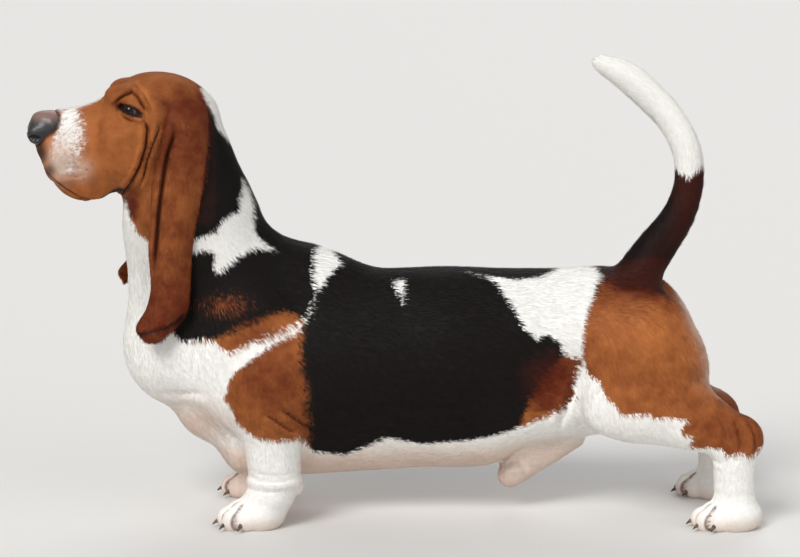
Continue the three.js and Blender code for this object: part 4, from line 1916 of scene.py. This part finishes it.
@dataclass(frozen=True)
class HornFinish:
    """Brown horn with lengthwise streaks."""

    dark: Colour = paint(58, 42, 34)
    light: Colour = paint(120, 96, 78)

    def build(self) -> bpy.types.Material:
        """Makes the claws' material.

        Returns:
            The material.
        """
        shader = Shader("claw_horn")
        streak = shader.noise(500, (0.15, 1, 0.6), 3)
        colour = shader.mix(streak.between(0.3, 0.7), self.dark, self.light)
        shader.dress(Base_Color=colour, Roughness=0.34 + 0.2 * streak,
                     Normal=shader.bump(streak, 0.0002, 0.5))
        return shader.material


@dataclass(frozen=True)
class FloorFinish:
    """A plain pale studio floor."""

    colour: Colour = paint(222, 220, 216)
    grain: Colour = paint(170, 168, 164)

    def build(self) -> bpy.types.Material:
        """Makes the floor's material.

        Returns:
            The material.
        """
        shader = Shader("studio_floor")
        grain = shader.noise(40, detail=4)
        colour = shader.mix(0.03 * grain, self.colour, self.grain)
        shader.dress(Base_Color=colour, Roughness=0.7)
        return shader.material


# --- Studio ---
@dataclass
class Studio:
    """Camera, soft lights and a pale floor."""

    distance: float = 3.5
    elevation: float = 12
    target: Point = (4, 0, 314.5)
    view_width: float = 1.056
    sensor: float = 36
    sky: Colour = paint(226, 228, 232)
    sky_strength: float = 0.52
    floor_radius: float = 40

    def build(self) -> None:
        """Sets up camera, lights and floor."""
        self._camera()
        self._floor()
        self._light("key", (-1.6, -2.2, 3.0), 26, 2.1)
        self._light("fill", (2.6, -1.8, 1.8), 50, 0.55)
        self._light("rim", (0.4, 2.6, 2.6), 40, 0.7)
        world = bpy.data.worlds.new("studio")
        world.use_nodes = True
        background = world.node_tree.nodes["Background"]
        background.inputs[0].default_value = (*self.sky, 1)
        background.inputs[1].default_value = self.sky_strength
        bpy.context.scene.world = world
        bpy.context.scene.view_settings.view_transform = "Standard"

    def _camera(self) -> None:
        """Places the camera at the side, a little above the hound."""
        e = math.radians(self.elevation)
        back = Vector((0, -math.cos(e), math.sin(e)))
        target = Vector(PLACE.to_frame(np.array(self.target)))
        data = bpy.data.cameras.new("camera")
        data.sensor_width = self.sensor
        data.lens = self.sensor * self.distance / self.view_width
        data.clip_end = 200
        camera = bpy.data.objects.new("camera", data)
        camera.location = target + back * self.distance
        camera.rotation_euler = (-back).to_track_quat("-Z", "Y").to_euler()
        bpy.context.scene.collection.objects.link(camera)
        bpy.context.scene.camera = camera

    def _light(self, name: str, at: Point, spread: float, strength: float) -> None:
        """Adds one soft light from afar that shines from a place toward the hound.

        Args:
            name: The light's name.
            at: The place.
            spread: How wide the light looks, in degrees.
            strength: Its strength in watts a square metre.
        """
        data = bpy.data.lights.new(name, "SUN")
        data.angle = math.radians(spread)
        data.energy = strength
        light = bpy.data.objects.new(name, data)
        light.location = at
        aim = Vector((0, 0, 0.3)) - Vector(at)
        light.rotation_euler = aim.to_track_quat("-Z", "Y").to_euler()
        bpy.context.scene.collection.objects.link(light)

    def _floor(self) -> None:
        """Lays the floor."""
        bm = bmesh.new()
        bmesh.ops.create_circle(bm, cap_ends=True, cap_tris=False, segments=96,
                                radius=self.floor_radius)
        floor = new_piece("floor", mesh_of(bm, "floor"))
        floor.data.materials.append(FloorFinish().build())


# --- Eyes, nose pad and claws ---
@dataclass
class Face:
    """The eyes and the nose pad."""

    gaze: Point = (-0.45, 0.89, -0.02)
    iris_turn: float = 0.86
    cornea: float = 0.05

    def build(self) -> None:
        """Makes all three pieces."""
        finish = EyeFinish().build()
        for name, side in SIDES.items():
            self._eye(name, side, finish)
        self._nose()

    def _eye(self, name: str, side: float, finish: bpy.types.Material) -> None:
        """Makes one eyeball, whose front swells into the cornea over the iris.

        Args:
            name: "left" or "right".
            side: -1 on the left and 1 on the right.
            finish: The eye's material.
        """
        bm = bmesh.new()
        bmesh.ops.create_uvsphere(bm, u_segments=48, v_segments=40, radius=1)
        gaze = Vector((self.gaze[0], side * self.gaze[1], self.gaze[2])).normalized()
        turn = Vector((0, 0, 1)).rotation_difference(gaze)
        x, y, z = HOUND.eye
        rings = []
        for vertex in bm.verts:
            angle = math.acos(max(-1, min(1, vertex.co.z)))
            swell = 1 + self.cornea * max(0, 1 - (angle / self.iris_turn) ** 2)
            rings.append((angle, 0, 0))
            point = turn @ (vertex.co * swell * HOUND.eye_radius) + Vector((x, side * y, z))
            vertex.co = Vector(PLACE.to_frame(np.array(point)))
        mesh = mesh_of(bm, f"eyeball_{name}")
        set_vectors(mesh, "ring", np.array(rings))
        finished(new_piece(f"eyeball_{name}", mesh), finish, [f"eye_{name}"])

    def _nose(self) -> None:
        """Makes the nose pad."""
        bm = bmesh.new()
        bmesh.ops.create_icosphere(bm, subdivisions=5, radius=1)
        directions = np.array([v.co.normalized() for v in bm.verts])
        centre = np.array((-460, 0, 513.0))
        form = Form(tuple(HOUND.nose()))
        reach = furthest_within(
            lambda out: form.distance(centre + directions * out[:, None]) < -0.3, 50.0,
            len(directions), 16)
        for vertex, point in zip(bm.verts, PLACE.to_frame(centre + directions * reach[:, None])):
            vertex.co = point
        pad = new_piece("nose_pad", mesh_of(bm, "nose_pad"))
        finished(pad, NoseFinish().build(), ["nose"])


@dataclass
class Claws:
    """The claws of all four paws."""

    length: float = 10.5
    radius: float = 3.7
    hook: float = 6

    def build(self) -> None:
        """Makes the claws of each paw as one piece."""
        finish = HornFinish().build()
        for limb in LIMBS:
            for name in SIDES:
                self._paw(limb, name, finish)

    def _paw(self, limb: str, name: str, finish: bpy.types.Material) -> None:
        """Makes the four claws of one paw.

        Args:
            limb: "foreleg" or "hindleg".
            name: "left" or "right".
            finish: The claws' material.
        """
        paw = HOUND.paw(limb, name)
        bm = bmesh.new()
        for spread_angle, reach, _ in Paw.TOES:
            self._claw(bm, paw, spread_angle, reach)
        nodes = [f"claw_{limb}_{name}_{i + 1}" for i in range(len(Paw.TOES))]
        title = f"claws_{limb}_{name}"
        finished(new_piece(title, mesh_of(bm, title)), finish, nodes)

    def _claw(self, bm: bmesh.types.BMesh, paw: Paw, spread_angle: float, reach: float) -> None:
        """Adds one claw, round at its root and hooked to a blunt point.

        Args:
            bm: The bmesh that the claw is added to.
            paw: The paw.
            spread_angle: The toe's angle to the paw's heading, in degrees.
            reach: The toe's distance from the paw's middle.
        """
        made = bmesh.ops.create_uvsphere(bm, u_segments=14, v_segments=12, radius=1)
        heading = math.radians(spread_angle + paw.turn)
        out = Vector((-math.cos(heading), paw.side * math.sin(heading), 0))
        across = Vector((-out.y, out.x, 0))
        at = Vector(paw.place(spread_angle, reach + 12, 9.5))
        for vertex in made["verts"]:
            forward = vertex.co.z * (self.length if vertex.co.z > 0 else 5) * paw.size
            share = max(vertex.co.z, 0)
            width = self.radius * paw.size * (1 - 0.35 * share)
            drop = self.hook * share * share * paw.size
            point = at + out * forward + across * vertex.co.x * width * 0.85
            point.z += vertex.co.y * width - drop
            vertex.co = Vector(PLACE.to_frame(np.array(point)))
        bmesh.ops.recalc_face_normals(bm, faces=bm.faces)


# --- The coat ---
@dataclass(frozen=True)
class Lie:
    """A place on the side of the hound, with the way its hair lies there and how long it is."""

    x: float
    z: float
    toward: tuple[float, float]
    length: float


@dataclass(frozen=True)
class Field:
    """The lie and length of the hair over the whole hound."""

    LIES: tuple[Lie, ...] = (
        Lie(-455, 535, (1.0, 0.25), 2.6), Lie(-420, 545, (1.0, 0.3), 3.0),
        Lie(-385, 550, (0.8, 0.7), 3.6), Lie(-345, 585, (1.0, 0.3), 4.6),
        Lie(-290, 585, (1.0, -0.3), 5.4), Lie(-252, 560, (0.5, -0.9), 7.0),
        Lie(-455, 490, (0.9, -0.5), 2.6), Lie(-420, 500, (1.0, -0.35), 3.0),
        Lie(-380, 500, (1.0, -0.4), 3.6), Lie(-340, 520, (1.0, -0.3), 4.2),
        Lie(-430, 455, (0.8, -0.7), 3.2), Lie(-390, 440, (0.9, -0.6), 3.8),
        Lie(-330, 455, (0.6, -0.8), 5.0), Lie(-320, 400, (0.2, -1.0), 7.5),
        Lie(-225, 470, (0.4, -0.9), 9.0), Lie(-260, 420, (0.2, -1.0), 8.5),
        Lie(-190, 390, (0.8, -0.7), 10.5), Lie(-250, 320, (0.3, -1.0), 10.0),
        Lie(-340, 300, (0.1, -1.0), 8.5), Lie(-345, 210, (0.2, -1.0), 8.0),
        Lie(-290, 140, (0.7, -0.8), 7.0), Lie(-230, 90, (0.9, -0.4), 7.0),
        Lie(-190, 270, (0.6, -0.8), 10.0), Lie(-180, 190, (0.5, -0.9), 8.5),
        Lie(-160, 130, (0.2, -1.0), 7.0), Lie(-160, 70, (0.0, -1.0), 5.0),
        Lie(-200, 22, (-0.9, -0.5), 2.6), Lie(-130, 345, (1.0, -0.25), 11.5),
        Lie(-60, 250, (0.9, -0.5), 10.5), Lie(-60, 120, (1.0, -0.2), 9.0),
        Lie(60, 320, (1.0, -0.05), 10.5), Lie(60, 200, (1.0, -0.35), 10.5),
        Lie(60, 90, (1.0, 0.05), 8.0), Lie(190, 320, (1.0, -0.05), 10.5),
        Lie(190, 220, (0.95, -0.4), 10.0), Lie(180, 100, (1.0, -0.1), 7.0),
        Lie(290, 320, (1.0, -0.3), 10.5), Lie(300, 230, (0.6, -0.9), 9.5),
        Lie(370, 250, (0.4, -1.0), 11.0), Lie(370, 180, (0.5, -0.9), 10.0),
        Lie(290, 150, (0.5, -0.9), 8.0), Lie(420, 150, (0.6, -0.8), 9.0),
        Lie(455, 110, (0.1, -1.0), 7.0), Lie(445, 65, (0.0, -1.0), 5.0),
        Lie(410, 22, (-0.9, -0.5), 2.6), Lie(341, 356, (0.6, 0.85), 11.0),
        Lie(372, 410, (0.3, 1.0), 11.0), Lie(382, 465, (-0.05, 1.0), 10.0),
        Lie(362, 520, (-0.5, 0.85), 10.0), Lie(315, 572, (-0.85, 0.5), 10.0),
        Lie(264, 602, (-0.9, 0.4), 9.0),
    )

    def at(self, points: Array, ears: Array) -> tuple[Array, Array]:
        """Returns the way the hair lies at each point, and its length in millimetres.

        Args:
            points: The points, in millimetres.
            ears: Which of them belong to an ear.

        Returns:
            The ways as unit vectors, and the lengths.
        """
        way = np.zeros((len(points), 3))
        length, total = np.zeros(len(points)), np.zeros(len(points))
        for lie in self.LIES:
            away = (points[:, 0] - lie.x) ** 2 + (points[:, 2] - lie.z) ** 2
            weight = 1 / (away + 300) ** 2
            way[:, 0] += weight * lie.toward[0]
            way[:, 2] += weight * lie.toward[1]
            length += weight * lie.length
            total += weight
        way[ears] = (0.12, 0, -1)
        length = np.where(ears, 4.8, 0.86 * length / total)
        return way / np.maximum(lengths_of(way), 1e-9)[:, None], length


class Cover(Enum):
    """The coat's pieces: the parts each covers, its side where it is halved, and its slot."""

    HEAD_LEFT = ((Part.HEAD,), -1, "coat_tan")
    HEAD_RIGHT = ((Part.HEAD,), 1, "coat_tan")
    EARS = ((Part.EAR_LEFT, Part.EAR_RIGHT), 0, "coat_tan")
    NECK = ((Part.NECK,), 0, "coat_black")
    TORSO_LEFT = ((Part.TORSO,), -1, "coat_black")
    TORSO_RIGHT = ((Part.TORSO,), 1, "coat_black")
    FORELEGS = ((Part.FORELEG_LEFT, Part.FORELEG_RIGHT), 0, "coat_white")
    HINDLEGS = ((Part.HINDLEG_LEFT, Part.HINDLEG_RIGHT), 0, "coat_white")
    TAIL = ((Part.TAIL,), 0, "coat_white")


@dataclass
class Tufts:
    """Roots of the tufts, one row each."""

    root: Array
    normal: Array
    way: Array
    length: Array
    marks: Array
    tone: Array
    part: Array
    chance: Array

    def taken(self, chosen: Array) -> "Tufts":
        """Returns only the chosen tufts."""
        return Tufts(*(getattr(self, name)[chosen] for name in self.__dataclass_fields__))


@dataclass
class Coat:
    """Colours of the skin, and the tufts over it."""

    hide: Hide
    finish: bpy.types.Material
    layers: float = 3.2
    most: int = 59000
    patch: float = 0.003
    margin: float = 0.004
    sunk: float = 0.25
    seed: int = 7
    field: Field = Field()

    AXES = {
        Part.HEAD: ((-470, 0, 500), (-240, 0, 520)), Part.NECK: ((-235, 0, 260), (-290, 0, 520)),
        Part.TORSO: ((-340, 0, 200), (380, 0, 235)), Part.TAIL: ((330, 0, 330), (370, 0, 600)),
        Part.FORELEG_LEFT: ((-165, -76, 250), (-170, -78, 0)),
        Part.FORELEG_RIGHT: ((-165, 66, 250), (-170, 58, 0)),
        Part.HINDLEG_LEFT: ((330, -68, 300), (440, -82, 0)),
        Part.HINDLEG_RIGHT: ((330, 66, 300), (436, 60, 0)),
    }

    def build(self) -> None:
        """Colours the skin and covers it with tufts."""
        self.colour()
        tufts = self._roots()
        for cover in Cover:
            parts, half, slot = cover.value
            chosen = np.isin(tufts.part, [part.value for part in parts])
            if half:
                chosen &= tufts.root[:, 1] * half > 0
            mine = tufts.taken(chosen)
            if len(mine.root) > self.most:
                LOG.info("%s: thinned from %d tufts", cover.name, len(mine.root))
                mine = mine.taken(np.argsort(mine.chance)[:self.most])
            mesh = self._mesh(f"coat_{cover.name.lower()}", mine)
            finished(new_piece(mesh.name, mesh), self.finish)

    def colour(self) -> None:
        """Stores the markings on the skin's vertices."""
        mesh = self.hide.object.data
        points = coordinates(mesh)
        spots = SHEET.lay(points)
        ears = is_ear(self.hide.parts)
        marks, tone = Markings().at(points, spots, ears, self.hide)
        set_vectors(mesh, "marks", marks)
        set_vectors(mesh, "tone", tone)
        middle = np.full(len(points), 0.5)
        set_vectors(mesh, "strand", np.stack([middle, middle, middle * 0], 1))

    def _roots(self) -> Tufts:
        """Scatters the roots evenly over the skin, more of them where the hair is short.

        Returns:
            The tufts.
        """
        rng = np.random.default_rng(self.seed)
        mesh = self.hide.object.data
        points, normals = coordinates(mesh), vertex_normals(mesh)
        mesh.calc_loop_triangles()
        corners = rows_of(mesh.loop_triangles, "vertices", np.int32)
        a, b, c = (points[corners[:, i]] for i in range(3))
        area = lengths_of(np.cross(b - a, c - a)) / 2
        owner = self.hide.parts[corners[:, 0]]
        ears = is_ear(owner)
        _, length = self.field.at((a + b + c) / 3, ears)
        wanted = area * self.layers / (length * self._width(length))
        wanted *= ~self._bare((a + b + c) / 3, ears)
        count = np.floor(wanted + rng.random(len(wanted))).astype(int)
        chosen = np.repeat(np.arange(len(corners)), count)
        p, q = rng.random((2, len(chosen)))
        flip = p + q > 1
        p, q = np.where(flip, 1 - p, p), np.where(flip, 1 - q, q)
        share = np.stack([1 - p - q, p, q], 1)[:, :, None]
        trio = corners[chosen]
        marks, tone = vectors_of(mesh, "marks"), vectors_of(mesh, "tone")
        root = (points[trio] * share).sum(1)
        normal = (normals[trio] * share).sum(1)
        normal /= lengths_of(normal)[:, None]
        way, length = self.field.at(root, ears[chosen])
        swirl = np.sin(root[:, 0] / 23 + np.sin(root[:, 2] / 31)) * np.cos(root[:, 2] / 27)
        turn = 0.12 * swirl + 0.16 * rng.standard_normal(len(root))
        way = way - normal * (way * normal).sum(1)[:, None]
        way /= np.maximum(lengths_of(way), 1e-6)[:, None]
        across = np.cross(normal, way)
        way = way * np.cos(turn)[:, None] + across * np.sin(turn)[:, None]
        length = length * (0.75 + 0.5 * rng.random(len(root)))
        return Tufts(root, normal, way, length, (marks[trio] * share).sum(1),
                     (tone[trio] * share).sum(1), owner[chosen], rng.random(len(root)))

    @staticmethod
    def _width(length: Array) -> Array:
        """Returns the width of a tuft of that length."""
        return 0.30 + 0.052 * length

    def _bare(self, points: Array, ears: Array) -> Array:
        """Returns which places carry no tufts: soles, lids, nose and the ears' hidden roots.

        Args:
            points: The points, in millimetres.
            ears: Which of them belong to an ear.

        Returns:
            True where there are none.
        """
        spots = SHEET.lay(points)
        head = (points[:, 0] < -300) & (points[:, 2] > 500) & ~ears
        lids = head & (self.hide.LIDS.edge_distance(spots) < 1.2)
        nose = Form(tuple(HOUND.nose_bulk())).distance(points) < 1.0
        soles = (points[:, 2] < 1.2) | (self.hide.cleft_distance(points) < 2.8)
        hidden = ears & (self.hide.trunk.distance(points) < -2.5)
        buried = (self.hide.body.distance(points) < -9) & ~ears
        return lids | nose & (points[:, 0] < -436) | soles | hidden | buried

    def _mesh(self, name: str, tufts: Tufts) -> bpy.types.Mesh:
        """Joins tufts into one mesh: each a thin blade that narrows twice and ends in a point.

        Args:
            name: The piece's name.
            tufts: The tufts.

        Returns:
            The mesh, with its colours and the patch of each tuft.
        """
        count = len(tufts.root)
        half = (self._width(tufts.length) / 2)[:, None] * np.cross(tufts.way, tufts.normal)
        length, normal, way = tufts.length[:, None], tufts.normal, tufts.way
        lift = (0.09 + 0.10 * tufts.chance)[:, None]
        root = tufts.root - normal * self.sunk
        middle = root + way * length * 0.5 + normal * length * lift
        tip = root + way * length + normal * length * lift * 1.25
        points = np.stack([root - half, root + half, middle + half * 0.85, middle - half * 0.85,
                           tip], 1).reshape(-1, 3)
        mesh = bpy.data.meshes.new(name)
        mesh.vertices.add(count * 5)
        mesh.vertices.foreach_set("co", PLACE.to_frame(points).ravel())
        loops = (np.arange(count)[:, None] * 5 + np.array([0, 1, 2, 3, 3, 2, 4])).ravel()
        mesh.loops.add(len(loops))
        mesh.loops.foreach_set("vertex_index", loops.astype(np.int32))
        mesh.polygons.add(count * 2)
        starts = (np.arange(count)[:, None] * 7 + np.array([0, 4])).ravel()
        mesh.polygons.foreach_set("loop_start", starts.astype(np.int32))
        mesh.update(calc_edges=True)
        set_vectors(mesh, "marks", np.repeat(tufts.marks, 5, 0))
        set_vectors(mesh, "tone", np.repeat(tufts.tone, 5, 0))
        tilt = np.random.default_rng(len(tufts.root)).standard_normal((count, 3))
        soft = tufts.normal + 0.10 * tilt + 0.08 * tufts.way
        mesh.polygons.foreach_set("use_smooth", [True] * count * 2)
        soft = np.repeat(soft / lengths_of(soft)[:, None], 5, 0)
        mesh.normals_split_custom_set_from_vertices(soft.tolist())
        along = np.tile([0, 0, 0.5, 0.5, 1.0], count)
        set_vectors(mesh, "strand",
                    np.stack([np.repeat(tufts.chance, 5), along, np.ones(count * 5)], 1))
        self._patches(mesh, tufts)
        return mesh

    def _patches(self, mesh: bpy.types.Mesh, tufts: Tufts) -> None:
        """Lays each tuft as a small patch at its root's place on an unwrap of the skin.

        Args:
            mesh: The tufts' mesh.
            tufts: The tufts.
        """
        place = np.zeros((len(tufts.root), 2))
        present = [part for part in Part if (tufts.part == part.value).any()]
        for i, part in enumerate(present):
            mine = tufts.part == part.value
            u, v = self._unwrap(part, tufts.root[mine], tufts.normal[mine])
            place[mine] = np.stack([(i + u) / len(present), v], 1)
        place = self.margin + (1 - 2 * self.margin) * np.clip(place, 0, 1)
        r = self.patch / 2
        corners = np.array([[-r, -r], [r, -r], [r, 0], [-r, 0], [-r, 0], [r, 0], [0, r]])
        layer = mesh.uv_layers.new(name="OFBake")
        layer.data.foreach_set("uv", (place[:, None] + corners).astype(np.float32).ravel())

    def _unwrap(self, part: Part, roots: Array, normals: Array) -> tuple[Array, Array]:
        """Returns where roots of a part fall once its skin is slit lengthwise and rolled flat.

        Args:
            part: The part.
            roots: The roots.
            normals: Their normals.

        Returns:
            Their shares across and along the unwrap.
        """
        if part in (Part.EAR_LEFT, Part.EAR_RIGHT):
            outer = normals[:, 1] * (1 if part is Part.EAR_RIGHT else -1) > 0
            across = np.clip((roots[:, 0] + 400) / 170, 0, 0.98)
            return 0.5 * (across + outer), (roots[:, 2] - 240) / 345
        start, end = (np.array(point, float) for point in self.AXES[part])
        axis = (end - start) / lengths_of((end - start)[None])[0]
        outward = roots - start
        along = outward @ axis
        first = np.cross(axis, (0, 1, 0))
        first /= lengths_of(first[None])[0]
        second = np.cross(axis, first)
        angle = np.arctan2(outward @ second, outward @ first) / (2 * math.pi) + 0.5
        low, high = along.min(), along.max()
        return angle, (along - low) / max(high - low, 1)


def main() -> None:
    """Builds the hound and its studio."""
    logging.basicConfig(level=logging.INFO, format="%(message)s")
    Studio().build()
    hide = Hide()
    hide.build()
    finish = CoatFinish().build()
    flesh = (*Hide.FLESH, "ear_left", "ear_right")
    finished(hide.object, finish, flesh)
    Coat(hide, finish).build()
    Face().build()
    Claws().build()


if __name__ == "__main__":
    main()
